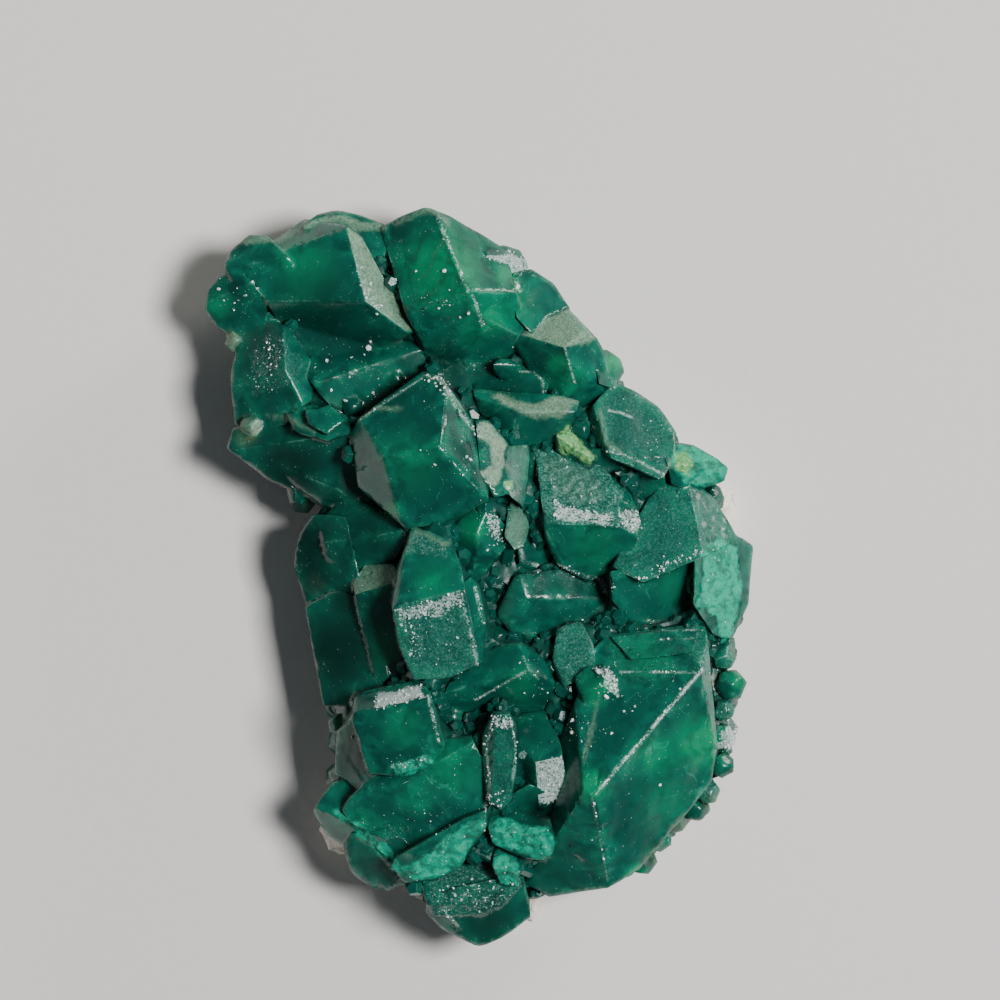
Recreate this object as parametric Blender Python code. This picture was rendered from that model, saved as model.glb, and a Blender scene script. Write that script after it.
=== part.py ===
"""Dioptase on matrix: emerald-green crystals grown together on a pale calcite base, lying on its back.

Metres, +Z up. X runs across the specimen, Y along it, and Z from the matrix to the crystal faces.
The crystals are laid out in millimetres in that frame, and one scale turns them into metres.
"""

import math
import random

import bmesh
import bpy
from mathutils import Matrix, Vector

MM = 0.001

# Driving dimensions in millimetres. The outlines below reach the length and the width.
# CORE_LEVELS gives the height of each ring of the core and its share of the whole outline.
LENGTH = 33.0
WIDTH = 21.6
THICKNESS = 9.0
MATRIX_GAP = 0.25
MATRIX_TOP = 2.5
CORE_LEVELS = ((1.3, 0.85), (2.2, 0.94), (3.4, 0.96), (4.3, 0.9), (5.1, 0.62))
ROOT = 1.9
ROOT_SHARE = 0.92
KNEE_SEED = 3
KNEE = (2.7, 3.7)

# The specimen's outline seen from the crystal side, clockwise from the north-west nub.
OUTLINE = [
    (-8.6, 15.4), (-6.6, 15.6), (-4.2, 16.1), (-2.0, 15.1), (0.2, 15.3), (2.0, 13.8),
    (3.5, 12.4), (4.9, 10.4), (5.8, 8.2), (6.6, 6.6), (7.9, 4.6), (9.2, 2.5), (10.0, 0.9),
    (10.1, -1.6), (9.7, -4.2), (9.0, -6.6), (8.7, -8.4), (8.1, -10.4), (6.6, -12.4),
    (4.6, -13.7), (2.4, -14.8), (-0.6, -14.7), (-2.8, -15.2), (-4.6, -16.0), (-6.4, -14.8),
    (-8.0, -12.5), (-10.0, -10.4), (-9.9, -8.4), (-9.2, -5.6), (-8.8, -2.2), (-8.8, 1.2),
    (-7.5, 3.9), (-8.8, 5.3), (-10.3, 7.2), (-9.8, 9.6), (-9.2, 11.6), (-9.9, 13.6),
]

# The main crystals. Each has the outline of its crown and the planes that cut its faces:
# three points in a plane, of which neighbouring planes share the two along their common ridge.
CRYSTALS = {
    "north_west_block": (
        [(-8.1, 14.6), (-6.7, 15.8), (-5.2, 16.45), (-3.5, 15.75), (-2.9, 15.0), (-1.7, 10.9),
         (-3.2, 10.6), (-5.4, 10.9), (-7.2, 11.9)],
        [[(-3.45, 15.6, 6.0), (-3.35, 12.2, 7.3), (-7.6, 13.6, 5.4)],
         [(-3.35, 12.2, 7.3), (-7.6, 13.2, 5.5), (-5.2, 11.0, 4.7)],
         [(-3.45, 15.6, 6.0), (-3.35, 12.2, 7.3), (-1.6, 11.0, 5.9)],
         [(-6.9, 15.2, 5.0), (-3.6, 15.5, 6.0), (-5.0, 16.4, 4.2)]],
    ),
    "north_ledge": (
        [(-5.4, 16.1), (-4.6, 16.5), (-3.7, 16.5), (-2.7, 16.0), (-1.8, 15.4), (-2.2, 14.6),
         (-4.6, 14.8)],
        [[(-4.8, 16.4, 4.6), (-2.0, 15.3, 4.9), (-3.2, 14.6, 5.4)]],
    ),
    "north_peak": (
        [(-2.0, 15.3), (-0.9, 15.55), (0.1, 15.7), (1.1, 15.05), (2.2, 14.0), (3.1, 13.1), (3.2, 10.6),
         (1.7, 10.4), (0.2, 9.6), (-1.4, 10.0), (-1.8, 11.6)],
        [[(0.5, 15.1, 6.4), (1.05, 11.6, 8.2), (-1.9, 12.0, 6.5)],
         [(0.5, 15.1, 6.4), (1.05, 11.6, 8.2), (3.2, 12.3, 6.1)],
         [(1.05, 11.6, 8.2), (3.1, 11.0, 6.9), (2.0, 10.3, 6.9)],
         [(-0.9, 11.3, 7.3), (1.25, 11.3, 8.1), (0.3, 9.7, 6.3)]],
    ),
    "north_peak_foot": (
        [(-1.9, 11.2), (0.6, 11.8), (1.6, 11.6), (3.2, 10.9), (3.6, 9.6), (2.4, 8.9), (0.4, 8.6),
         (-1.2, 9.2)],
        [[(1.3, 11.4, 7.7), (1.42, 10.1, 7.3), (-1.6, 10.6, 5.6)],
         [(1.3, 11.4, 7.7), (1.42, 10.1, 7.3), (3.5, 10.2, 6.0)],
         [(-0.4, 9.9, 6.5), (2.6, 9.8, 6.8), (1.2, 8.8, 5.4)]],
    ),
    "north_east_nub": (
        [(2.3, 13.3), (3.1, 13.3), (3.75, 12.9), (3.9, 12.2), (3.5, 11.6), (2.5, 11.7), (2.1, 12.5)],
        [[(2.5, 13.0, 6.3), (3.7, 12.6, 5.9), (3.0, 13.5, 5.2)],
         [(2.5, 12.9, 6.4), (3.7, 12.5, 6.0), (2.7, 11.7, 5.9)]],
    ),
    "east_shoulder": (
        [(3.2, 12.0), (4.0, 12.0), (4.8, 11.2), (5.3, 10.0), (5.1, 9.3), (3.7, 9.3), (3.0, 10.4)],
        [[(3.7, 11.6, 5.9), (3.6, 10.0, 6.1), (5.2, 10.5, 4.9)]],
    ),
    "east_roof": (
        [(2.7, 9.1), (3.3, 9.55), (4.2, 9.7), (5.2, 9.95), (5.75, 9.0), (6.15, 8.4), (6.35, 7.7),
         (6.3, 6.2), (5.1, 5.4), (3.9, 6.0), (3.3, 7.4)],
        [[(2.8, 8.95, 6.6), (5.9, 8.35, 6.9), (4.6, 9.8, 5.6)],
         [(4.6, 8.35, 7.1), (4.75, 6.9, 6.5), (2.8, 8.2, 5.6)],
         [(4.6, 8.35, 7.1), (4.75, 6.9, 6.5), (6.4, 7.4, 5.4)],
         [(3.8, 6.5, 6.0), (6.0, 6.4, 5.6), (5.0, 5.4, 4.9)]],
    ),
    "east_lobe": (
        [(6.1, 7.9), (6.5, 7.8), (6.95, 7.3), (7.0, 6.7), (6.6, 6.4), (6.0, 6.7)],
        [[(6.2, 7.6, 5.3), (6.3, 6.6, 5.3), (7.0, 7.1, 4.5)]],
    ),
    "bead_prism": (
        [(1.45, 8.35), (1.8, 8.55), (2.3, 8.35), (2.65, 8.0), (2.3, 7.8), (1.7, 7.95)],
        [[(1.5, 8.3, 6.1), (2.6, 8.0, 5.9), (2.2, 8.5, 5.8)],
         [(1.5, 8.25, 6.1), (2.6, 7.95, 5.9), (1.9, 7.8, 5.7)]],
    ),
    "recess_plate": (
        [(0.4, 8.4), (1.8, 8.4), (2.7, 8.1), (3.4, 7.4), (3.6, 6.9), (3.3, 6.2), (1.9, 6.4),
         (0.4, 7.2)],
        [[(0.6, 8.2, 4.9), (3.4, 7.3, 5.6), (1.8, 6.5, 5.9)]],
    ),
    "crescent_block": (
        [(0.35, 7.45), (1.4, 7.1), (2.6, 6.45), (4.0, 6.35), (4.8, 5.9), (4.4, 5.2), (3.7, 4.6),
         (2.2, 4.6),
         (1.0, 5.6), (0.4, 6.6)],
        [[(0.6, 7.0, 6.4), (4.5, 5.5, 6.9), (4.0, 6.4, 6.2)],
         [(1.8, 5.95, 6.9), (4.4, 5.45, 6.9), (3.0, 4.5, 5.8)],
         [(0.5, 6.9, 6.4), (2.0, 5.85, 6.9), (1.2, 5.4, 6.0)]],
    ),
    "east_plate": (
        [(5.3, 5.6), (6.4, 6.4), (7.2, 5.8), (8.1, 4.9), (8.6, 3.6), (8.3, 2.6), (7.6, 1.85),
         (6.5, 2.9),
         (5.5, 3.4), (5.2, 4.4)],
        [[(5.6, 3.5, 6.7), (7.6, 2.0, 6.6), (7.4, 5.4, 5.2)],
         [(5.4, 4.2, 6.4), (5.4, 5.4, 6.1), (5.1, 4.6, 5.8)]],
    ),
    "east_plate_foot": (
        [(4.8, 3.8), (5.6, 3.6), (6.6, 3.0), (7.7, 2.0), (7.6, 1.4), (6.6, 0.9), (5.6, 1.2),
         (5.0, 2.4)],
        [[(5.0, 3.6, 6.2), (7.6, 2.0, 5.9), (6.0, 1.2, 5.3)]],
    ),
    "sparkling_block": (
        [(2.45, 4.3), (3.4, 4.1), (4.6, 3.4), (5.2, 2.5), (6.0, 1.8), (6.25, 0.2), (5.6, -1.0),
         (4.6, -1.6),
         (3.4, -1.9), (2.3, -0.9), (2.0, 0.4), (2.55, 1.2)],
        [[(2.6, 0.95, 7.7), (5.9, 0.05, 7.6), (3.0, 4.1, 5.6)],
         [(2.6, 0.9, 7.75), (5.9, 0.0, 7.65), (3.6, -1.8, 5.7)],
         [(5.3, 0.2, 7.6), (5.2, 2.4, 6.5), (6.3, 1.0, 6.0)],
         [(2.3, 0.5, 7.5), (3.0, -0.6, 7.0), (2.2, -0.8, 6.1)]],
    ),
    "yellow_lump": (
        [(3.5, 4.75), (4.0, 4.8), (4.7, 4.1), (5.0, 3.3), (4.6, 2.9), (3.9, 3.6), (3.4, 4.2)],
        [[(3.6, 4.5, 6.3), (4.8, 3.3, 6.5), (4.4, 4.4, 5.7)],
         [(3.7, 4.3, 6.35), (4.7, 3.2, 6.5), (3.8, 3.6, 6.0)]],
    ),
    "grey_plate": (
        [(4.65, -1.5), (5.9, -0.8), (6.3, 0.2), (7.0, 1.1), (7.8, 1.55), (8.8, 1.3), (9.5, 0.6),
         (9.9, -0.6),
         (10.2, -1.6), (8.6, -1.65), (5.7, -2.45)],
        [[(5.7, -2.4, 7.4), (8.6, -1.6, 7.0), (7.6, 1.4, 5.6)],
         [(8.8, 1.0, 5.6), (8.7, -1.6, 6.8), (10.1, -0.8, 5.1)]],
    ),
    "grey_plate_foot": (
        [(4.5, -1.7), (5.7, -2.2), (8.5, -1.7), (8.4, -3.2), (7.9, -4.3), (6.2, -4.5), (4.9, -4.2),
         (4.3, -3.0)],
        [[(4.9, -1.9, 7.0), (8.5, -1.8, 6.6), (6.4, -4.3, 5.3)]],
    ),
    "upper_turquoise_lump": (
        [(8.15, 2.7), (8.6, 3.15), (9.2, 2.9), (10.1, 2.1), (10.45, 1.6), (10.2, 1.05), (9.1, 0.95),
         (8.2, 1.5)],
        [[(8.4, 2.2, 6.2), (10.2, 1.6, 5.3), (9.4, 2.8, 4.8)],
         [(8.4, 2.1, 6.2), (10.2, 1.5, 5.3), (9.0, 0.9, 5.4)]],
    ),
    "lower_turquoise_lump": (
        [(8.4, -1.7), (9.3, -1.3), (10.2, -1.4), (10.8, -2.0), (10.2, -3.1), (10.0, -4.4), (9.0, -5.7),
         (8.5, -5.6), (8.3, -4.6), (7.8, -4.0)],
        [[(8.3, -3.8, 6.5), (8.9, -1.7, 6.4), (10.1, -2.2, 5.1)],
         [(8.3, -3.9, 6.5), (9.9, -3.6, 5.0), (8.8, -5.6, 5.3)],
         [(9.4, -1.5, 6.0), (10.6, -2.1, 4.6), (9.6, -4.2, 5.2)]],
    ),
    "centre_west_block": (
        [(-5.3, 6.7), (-4.8, 7.3), (-2.7, 8.2), (-1.6, 8.7), (-0.9, 8.3), (-0.4, 7.2), (0.3, 5.5),
         (0.3, 4.2),
         (-0.1, 2.6), (-2.0, 2.1), (-3.9, 2.2), (-4.5, 3.1), (-5.5, 4.4)],
        [[(-4.1, 5.3, 8.5), (-1.6, 5.3, 9.0), (-1.7, 8.6, 7.0)],
         [(-4.1, 5.2, 8.5), (-1.6, 5.2, 9.0), (-2.6, 2.2, 7.3)],
         [(-4.1, 5.3, 8.5), (-4.75, 7.2, 7.2), (-5.5, 5.0, 6.6)],
         [(-1.6, 5.3, 9.0), (-0.2, 6.9, 7.3), (0.3, 4.6, 7.2)],
         [(-4.15, 5.2, 8.4), (-4.1, 2.6, 7.1), (-5.3, 4.4, 6.5)]],
    ),
    "silver_blade": (
        [(0.15, 6.1), (0.7, 5.95), (0.95, 5.3), (1.35, 4.75), (1.05, 4.0), (0.9, 2.7), (0.2, 2.7),
         (-0.15, 3.8), (0.3, 4.4), (0.4, 5.2)],
        [[(0.2, 3.2, 7.7), (0.5, 5.8, 7.2), (1.3, 4.6, 6.9)]],
    ),
    "upper_tan_blade": (
        [(1.2, 4.7), (2.15, 4.55), (2.1, 4.0), (1.65, 3.4), (1.6, 2.5), (1.35, 2.0), (0.95, 2.5),
         (0.7, 3.1), (1.05, 3.9)],
        [[(1.1, 2.4, 7.3), (1.5, 4.6, 6.9), (2.1, 4.2, 6.7)]],
    ),
    "lower_tan_blade": (
        [(0.85, 2.3), (1.4, 2.0), (1.4, 1.0), (1.0, 0.2), (0.55, 0.2), (0.25, 0.9), (0.5, 1.6)],
        [[(0.8, 0.4, 7.2), (0.6, 2.0, 6.8), (1.4, 1.4, 6.7)]],
    ),
    "blade_wall": (
        [(1.2, 4.6), (2.2, 4.4), (2.7, 3.6), (2.6, 1.2), (2.3, -0.6), (1.2, -0.9), (0.6, -0.6),
         (1.1, 1.6)],
        [[(1.5, 4.4, 6.2), (1.2, 0.2, 6.4), (2.6, 2.4, 5.6)],
         [(1.0, 0.0, 6.3), (2.2, -0.1, 5.9), (1.4, -0.9, 5.3)]],
    ),
    "round_bead": (
        [(-1.9, 1.5), (-1.6, 2.1), (-0.8, 2.35), (0.0, 2.1), (0.45, 1.2), (0.2, 0.4), (-0.7, -0.3),
         (-1.55, -0.95), (-1.85, 0.2)],
        [[(-1.7, 1.4, 7.0), (-0.7, 1.4, 7.6), (-0.9, 2.4, 6.9)],
         [(-1.1, 1.6, 7.5), (-1.0, 0.2, 7.2), (-2.0, 0.9, 6.4)],
         [(-0.9, 1.5, 7.6), (-0.8, 0.4, 7.3), (0.4, 1.0, 6.8)],
         [(-1.3, 0.6, 7.3), (-0.2, 0.7, 7.3), (-1.0, -0.8, 6.2)]],
    ),
    "front_prism": (
        [(-3.6, 2.2), (-3.0, 1.9), (-2.1, 1.2), (-1.9, 0.0), (-2.05, -1.0), (-2.05, -4.3), (-3.6, -4.6),
         (-5.0, -4.3), (-5.3, -2.8), (-5.2, -0.9), (-4.6, 0.6), (-4.2, 1.2)],
        [[(-5.0, -0.95, 8.6), (-2.1, -0.95, 9.0), (-3.3, 2.0, 7.1)],
         [(-5.0, -1.0, 8.6), (-2.1, -1.0, 9.0), (-3.5, -4.3, 7.9)],
         [(-4.95, -1.0, 8.6), (-4.2, 1.2, 7.4), (-5.4, -0.4, 7.7)]],
    ),
    "front_prism_flank": (
        [(-2.1, -0.75), (-1.6, -0.5), (-1.35, -1.0), (-1.4, -2.7), (-1.9, -4.3), (-2.4, -4.3)],
        [[(-2.05, -1.0, 8.5), (-2.1, -4.0, 7.6), (-1.45, -2.2, 7.3)]],
    ),
    "west_shadow_block": (
        [(-7.6, 3.3), (-6.6, 4.0), (-5.4, 3.8), (-4.3, 2.8), (-4.0, 1.8), (-4.9, 0.9), (-6.4, 0.8),
         (-7.6, 1.6)],
        [[(-7.3, 2.4, 5.3), (-4.8, 2.2, 6.2), (-5.8, 4.0, 4.9)],
         [(-7.3, 2.3, 5.3), (-4.8, 2.1, 6.2), (-5.6, 0.8, 5.4)]],
    ),
    "west_speckled_block": (
        [(-6.7, 0.4), (-6.0, 1.0), (-4.9, 0.85), (-4.7, -0.2), (-5.2, -2.0), (-5.5, -4.2),
         (-6.7, -4.0), (-6.8, -1.0)],
        [[(-6.6, -0.1, 6.0), (-5.1, 0.0, 6.6), (-5.6, 1.0, 5.5)],
         [(-6.6, -0.2, 6.0), (-5.1, -0.1, 6.6), (-6.0, -4.0, 5.8)]],
    ),
    "west_rim_block": (
        [(-9.1, 1.8), (-8.5, 3.0), (-7.7, 3.7), (-6.6, 3.4), (-6.6, 0.6), (-7.6, -0.8), (-8.9, -0.5)],
        [[(-7.6, 3.4, 4.9), (-7.3, -0.4, 4.8), (-9.2, 1.2, 3.6)]],
    ),
    "west_rim_lower": (
        [(-9.0, -0.2), (-7.8, 0.2), (-6.4, -0.6), (-6.3, -4.2), (-7.6, -5.0), (-9.2, -4.6),
         (-9.1, -2.2)],
        [[(-7.4, 0.0, 4.9), (-6.9, -4.6, 5.4), (-9.2, -2.4, 3.9)]],
    ),
    "white_topped_block": (
        [(-7.7, -4.5), (-4.8, -4.5), (-4.5, -5.2), (-4.45, -7.6), (-5.2, -8.1), (-6.8, -8.2),
         (-7.9, -7.9),
         (-8.0, -5.4)],
        [[(-7.8, -5.15, 7.4), (-4.5, -5.15, 8.1), (-6.0, -4.4, 6.9)],
         [(-7.8, -5.2, 7.4), (-4.5, -5.2, 8.1), (-6.2, -8.0, 6.9)]],
    ),
    "white_topped_flank": (
        [(-8.8, -5.8), (-7.7, -5.0), (-7.6, -8.2), (-8.4, -8.6), (-9.4, -7.6)],
        [[(-7.9, -5.3, 6.4), (-7.9, -8.1, 6.0), (-9.2, -7.0, 4.8)]],
    ),
    "south_west_block": (
        [(-8.4, -8.5), (-6.6, -8.1), (-4.6, -7.4), (-3.2, -7.5), (-2.9, -8.8), (-3.0, -10.4),
         (-4.4, -11.1),
         (-6.2, -11.9), (-7.6, -12.3), (-8.6, -10.6), (-9.4, -9.2)],
        [[(-4.6, -7.6, 7.2), (-5.7, -11.4, 6.4), (-3.0, -9.2, 7.0)],
         [(-6.2, -8.8, 7.0), (-5.7, -11.4, 6.4), (-8.6, -9.8, 5.6)],
         [(-6.4, -8.6, 6.9), (-4.4, -8.0, 7.2), (-5.4, -7.4, 6.4)]],
    ),
    "south_west_nose": (
        [(-10.7, -9.0), (-10.1, -8.4), (-9.0, -8.3), (-7.8, -8.9), (-7.7, -10.8), (-9.0, -11.4),
         (-10.3, -10.2)],
        [[(-10.0, -8.9, 4.9), (-8.2, -10.6, 5.9), (-8.6, -8.5, 5.0)],
         [(-10.2, -9.2, 4.8), (-8.1, -10.8, 5.8), (-10.0, -10.6, 3.8)]],
    ),
    "south_west_foot": (
        [(-9.7, -10.8), (-9.7, -12.0), (-9.2, -12.7), (-8.3, -13.2), (-7.2, -13.0), (-6.7, -12.4),
         (-7.8, -10.8)],
        [[(-9.2, -11.4, 4.6), (-7.2, -11.8, 5.4), (-8.2, -13.2, 3.9)]],
    ),
    "turquoise_ledge": (
        [(-3.3, -10.8), (-4.4, -10.95), (-6.6, -11.8), (-7.8, -12.1), (-7.4, -12.95), (-6.0, -13.1),
         (-4.9, -12.8), (-4.2, -12.0), (-3.4, -11.3)],
        [[(-7.7, -12.3, 6.5), (-3.6, -11.0, 7.3), (-5.2, -12.6, 6.15)],
         [(-6.9, -12.1, 6.5), (-6.5, -13.1, 6.0), (-7.8, -12.5, 5.7)]],
    ),
    "slender_prism": (
        [(-2.05, -6.6), (-1.3, -6.8), (-1.15, -7.4), (-1.5, -9.0), (-2.05, -10.4), (-2.6, -10.7),
         (-3.1, -10.2),
         (-2.95, -8.6), (-2.75, -7.6)],
        [[(-1.7, -6.8, 8.2), (-2.6, -10.4, 7.5), (-1.3, -8.2, 8.1)],
         [(-2.2, -7.1, 7.9), (-2.8, -9.8, 7.5), (-3.05, -8.8, 7.1)]],
    ),
    "centre_pyramid": (
        [(-2.4, -4.1), (-1.0, -3.8), (-0.1, -3.9), (0.8, -4.9), (1.0, -6.0), (0.2, -6.9), (-1.4, -6.8),
         (-3.4, -6.4), (-4.1, -5.5), (-3.4, -4.7)],
        [[(-0.05, -5.05, 7.9), (-2.8, -5.8, 7.4), (-1.2, -3.9, 6.9)],
         [(-0.05, -5.05, 7.9), (-2.8, -5.85, 7.4), (-1.0, -6.9, 6.2)],
         [(-0.05, -5.0, 7.9), (-0.15, -4.2, 7.4), (0.95, -5.6, 6.6)],
         [(-0.05, -5.05, 7.9), (0.3, -5.5, 7.5), (0.4, -6.8, 6.1)]],
    ),
    "centre_shadow_block": (
        [(0.3, -0.9), (1.2, -1.1), (2.5, -1.1), (3.6, -2.0), (4.7, -2.6), (4.5, -3.6), (3.2, -3.7),
         (1.7, -3.2),
         (0.7, -3.7), (-0.4, -3.4), (-0.9, -2.4)],
        [[(0.1, -2.0, 6.6), (2.8, -1.5, 6.2), (1.6, -3.4, 5.4)],
         [(0.6, -2.2, 6.5), (0.7, -3.5, 6.6), (-0.8, -3.0, 6.0)],
         [(0.6, -2.2, 6.5), (0.7, -3.5, 6.6), (2.2, -3.0, 5.9)],
         [(2.4, -1.2, 6.2), (2.4, -3.4, 5.8), (4.7, -3.0, 5.0)]],
    ),
    "frosted_block": (
        [(1.6, -3.7), (2.7, -3.6), (3.0, -4.4), (2.85, -5.6), (1.9, -6.0), (1.1, -6.2), (1.0, -5.2)],
        [[(1.4, -5.9, 7.0), (2.6, -5.4, 6.9), (2.2, -3.8, 6.3)],
         [(1.2, -5.0, 6.8), (1.3, -6.0, 6.9), (0.9, -5.6, 6.2)]],
    ),
    "glinting_bead": (
        [(1.8, -6.0), (2.5, -5.6), (3.3, -5.7), (3.6, -6.3), (3.5, -7.0), (2.7, -7.3), (2.0, -7.0)],
        [[(1.9, -6.4, 7.7), (3.3, -6.3, 8.1), (2.6, -5.5, 7.3)],
         [(1.9, -6.5, 7.7), (3.3, -6.4, 8.1), (2.6, -7.3, 7.2)],
         [(3.0, -6.0, 8.0), (3.0, -6.9, 8.0), (3.7, -6.4, 7.4)]],
    ),
    "great_crystal": (
        [(3.1, -4.9), (3.8, -4.5), (7.9, -4.9), (7.75, -6.4), (7.3, -8.4), (7.25, -10.2), (6.7, -11.6),
         (5.2, -12.8), (2.8, -14.6), (1.2, -15.1), (-1.4, -15.0), (-2.3, -14.2), (-0.5, -12.6),
         (0.1, -10.8),
         (0.5, -8.8), (1.6, -7.2), (2.4, -6.4)],
        [[(7.3, -6.7, 8.0), (1.5, -10.95, 8.7), (7.2, -10.6, 5.6)],
         [(7.3, -6.7, 8.0), (1.5, -10.95, 8.7), (2.4, -6.6, 7.2)],
         [(1.5, -10.95, 8.7), (1.3, -14.9, 6.33), (-1.8, -13.6, 5.4)],
         [(7.3, -6.5, 8.0), (3.8, -6.0, 7.6), (5.6, -4.5, 6.3)],
         [(7.25, -6.7, 8.0), (7.2, -10.0, 5.9), (7.9, -6.0, 6.9)],
         [(0.9, -11.0, 8.4), (1.5, -8.6, 8.0), (-0.4, -11.0, 6.2)]],
    ),
    "growth_step": (
        [(3.9, -4.6), (7.6, -4.95), (7.1, -5.9), (4.4, -5.6)],
        [[(7.2, -5.8, 7.75), (4.2, -5.6, 7.5), (5.8, -4.6, 6.75)]],
    ),
    "little_square_block": (
        [(-1.2, -7.0), (0.2, -7.1), (0.6, -8.6), (0.5, -9.8), (0.0, -10.7), (-0.9, -11.2),
         (-1.5, -10.0), (-1.5, -8.2)],
        [[(-0.6, -9.0, 7.2), (0.5, -9.0, 7.4), (-0.5, -7.1, 5.9)],
         [(-0.6, -9.0, 7.2), (0.5, -9.0, 7.4), (-0.3, -10.8, 6.5)],
         [(-0.65, -9.0, 7.2), (-0.8, -10.6, 6.6), (-1.5, -9.4, 5.9)]],
    ),
    "south_shadow_block": (
        [(-2.3, -10.6), (-1.2, -10.2), (-0.1, -11.0), (0.1, -11.9), (-0.8, -12.2), (-2.3, -11.6)],
        [[(-2.2, -10.8, 6.1), (-0.2, -11.1, 6.2), (-1.0, -12.1, 5.4)]],
    ),
    "turquoise_finger": (
        [(-3.3, -11.4), (-2.9, -10.95), (-2.3, -11.3), (-1.3, -11.7), (-0.6, -12.0), (-0.6, -12.8),
         (-1.2, -13.35), (-2.1, -13.0), (-2.7, -12.3), (-3.3, -12.1)],
        [[(-3.1, -11.5, 6.9), (-0.8, -12.3, 7.3), (-1.8, -11.4, 6.6)],
         [(-3.1, -11.6, 6.9), (-0.8, -12.4, 7.3), (-1.8, -13.2, 6.5)]],
    ),
    "turquoise_knuckle": (
        [(-3.5, -13.0), (-3.1, -12.55), (-2.6, -12.9), (-2.35, -13.6), (-2.7, -14.2), (-3.4, -13.9)],
        [[(-3.3, -13.2, 6.5), (-2.5, -13.5, 6.5), (-3.0, -12.6, 6.1)],
         [(-3.3, -13.3, 6.5), (-2.5, -13.6, 6.5), (-3.0, -14.2, 5.9)]],
    ),
    "south_crest": (
        [(-6.8, -13.4), (-6.1, -13.1), (-4.8, -12.95), (-3.9, -13.7), (-2.5, -14.2), (-3.5, -14.9),
         (-4.5, -15.1),
         (-5.8, -14.5), (-6.6, -14.6)],
        [[(-6.3, -14.0, 5.8), (-3.4, -14.4, 6.0), (-5.0, -13.0, 5.3)],
         [(-6.3, -14.1, 5.8), (-3.4, -14.5, 6.0), (-4.8, -15.1, 5.3)]],
    ),
    "south_nub": (
        [(-6.9, -14.4), (-6.3, -15.3), (-5.7, -15.75), (-4.9, -16.5), (-3.6, -16.25), (-2.4, -15.7),
         (-2.4, -14.4),
         (-3.8, -14.2), (-5.6, -14.2)],
        [[(-5.6, -14.4, 5.4), (-3.0, -14.4, 5.3), (-4.4, -16.4, 3.9)],
         [(-5.6, -14.3, 5.5), (-5.4, -15.4, 4.8), (-6.9, -14.6, 4.2)]],
    ),
    "west_wing": (
        [(-10.8, 7.4), (-10.3, 8.2), (-8.6, 8.0), (-6.6, 7.7), (-5.2, 7.0), (-5.2, 5.0), (-6.2, 4.2),
         (-7.8, 4.4),
         (-9.3, 5.6)],
        [[(-10.6, 7.3, 4.5), (-6.0, 6.9, 6.0), (-8.6, 8.2, 4.6)],
         [(-10.6, 7.2, 4.5), (-6.0, 6.8, 6.0), (-7.4, 4.4, 4.0)]],
    ),
    "stepped_plate_low": (
        [(-7.9, 8.3), (-6.6, 8.4), (-5.4, 7.7), (-5.4, 7.0), (-6.6, 6.9), (-7.7, 7.5)],
        [[(-7.7, 7.6, 6.1), (-5.6, 7.1, 6.3), (-6.6, 8.4, 5.5)]],
    ),
    "stepped_plate_high": (
        [(-7.0, 8.2), (-5.9, 8.2), (-5.6, 7.6), (-6.5, 7.15), (-7.0, 7.6)],
        [[(-6.9, 7.5, 6.6), (-5.8, 7.5, 6.6), (-6.4, 8.3, 6.1)]],
    ),
    "west_frosted_block": (
        [(-10.1, 9.0), (-9.9, 10.4), (-9.3, 11.8), (-8.2, 12.6), (-7.0, 12.0), (-6.5, 10.6),
         (-6.9, 9.0), (-8.4, 8.2),
         (-10.2, 8.3)],
        [[(-9.6, 10.0, 4.7), (-7.3, 10.2, 6.2), (-8.0, 12.4, 4.8)],
         [(-9.6, 9.9, 4.7), (-7.3, 10.1, 6.2), (-8.6, 8.2, 4.9)],
         [(-7.4, 11.4, 5.9), (-7.2, 9.2, 6.0), (-6.5, 10.4, 5.2)]],
    ),
    "recess_block": (
        [(-6.85, 10.2), (-4.8, 10.9), (-3.4, 10.7), (-1.6, 10.0), (-1.2, 9.0), (-2.6, 8.3),
         (-4.8, 7.4), (-6.2, 8.6)],
        [[(-6.2, 9.2, 5.6), (-1.6, 9.6, 5.3), (-3.4, 8.0, 5.0)],
         [(-6.2, 9.3, 5.6), (-1.6, 9.7, 5.3), (-4.2, 10.9, 4.6)]],
    ),
    "north_west_nub": (
        [(-10.35, 13.5), (-10.1, 14.3), (-9.4, 14.9), (-8.4, 14.8), (-7.9, 13.9), (-8.4, 12.8),
         (-9.3, 12.4),
         (-10.1, 12.8)],
        [[(-9.9, 13.9, 4.4), (-8.1, 14.2, 5.4), (-9.0, 14.9, 4.6)],
         [(-9.9, 13.8, 4.4), (-8.1, 14.1, 5.4), (-9.2, 12.5, 4.3)]],
    ),
    "north_west_crest": (
        [(-9.1, 15.3), (-8.5, 15.9), (-7.7, 16.25), (-6.9, 16.0), (-6.3, 15.2), (-6.9, 14.2),
         (-8.4, 14.2), (-9.0, 14.7)],
        [[(-8.7, 15.0, 5.1), (-6.7, 15.0, 5.6), (-7.7, 16.2, 4.5)],
         [(-8.7, 14.9, 5.1), (-6.7, 14.9, 5.6), (-8.2, 14.1, 5.0)]],
    ),
}

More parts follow.
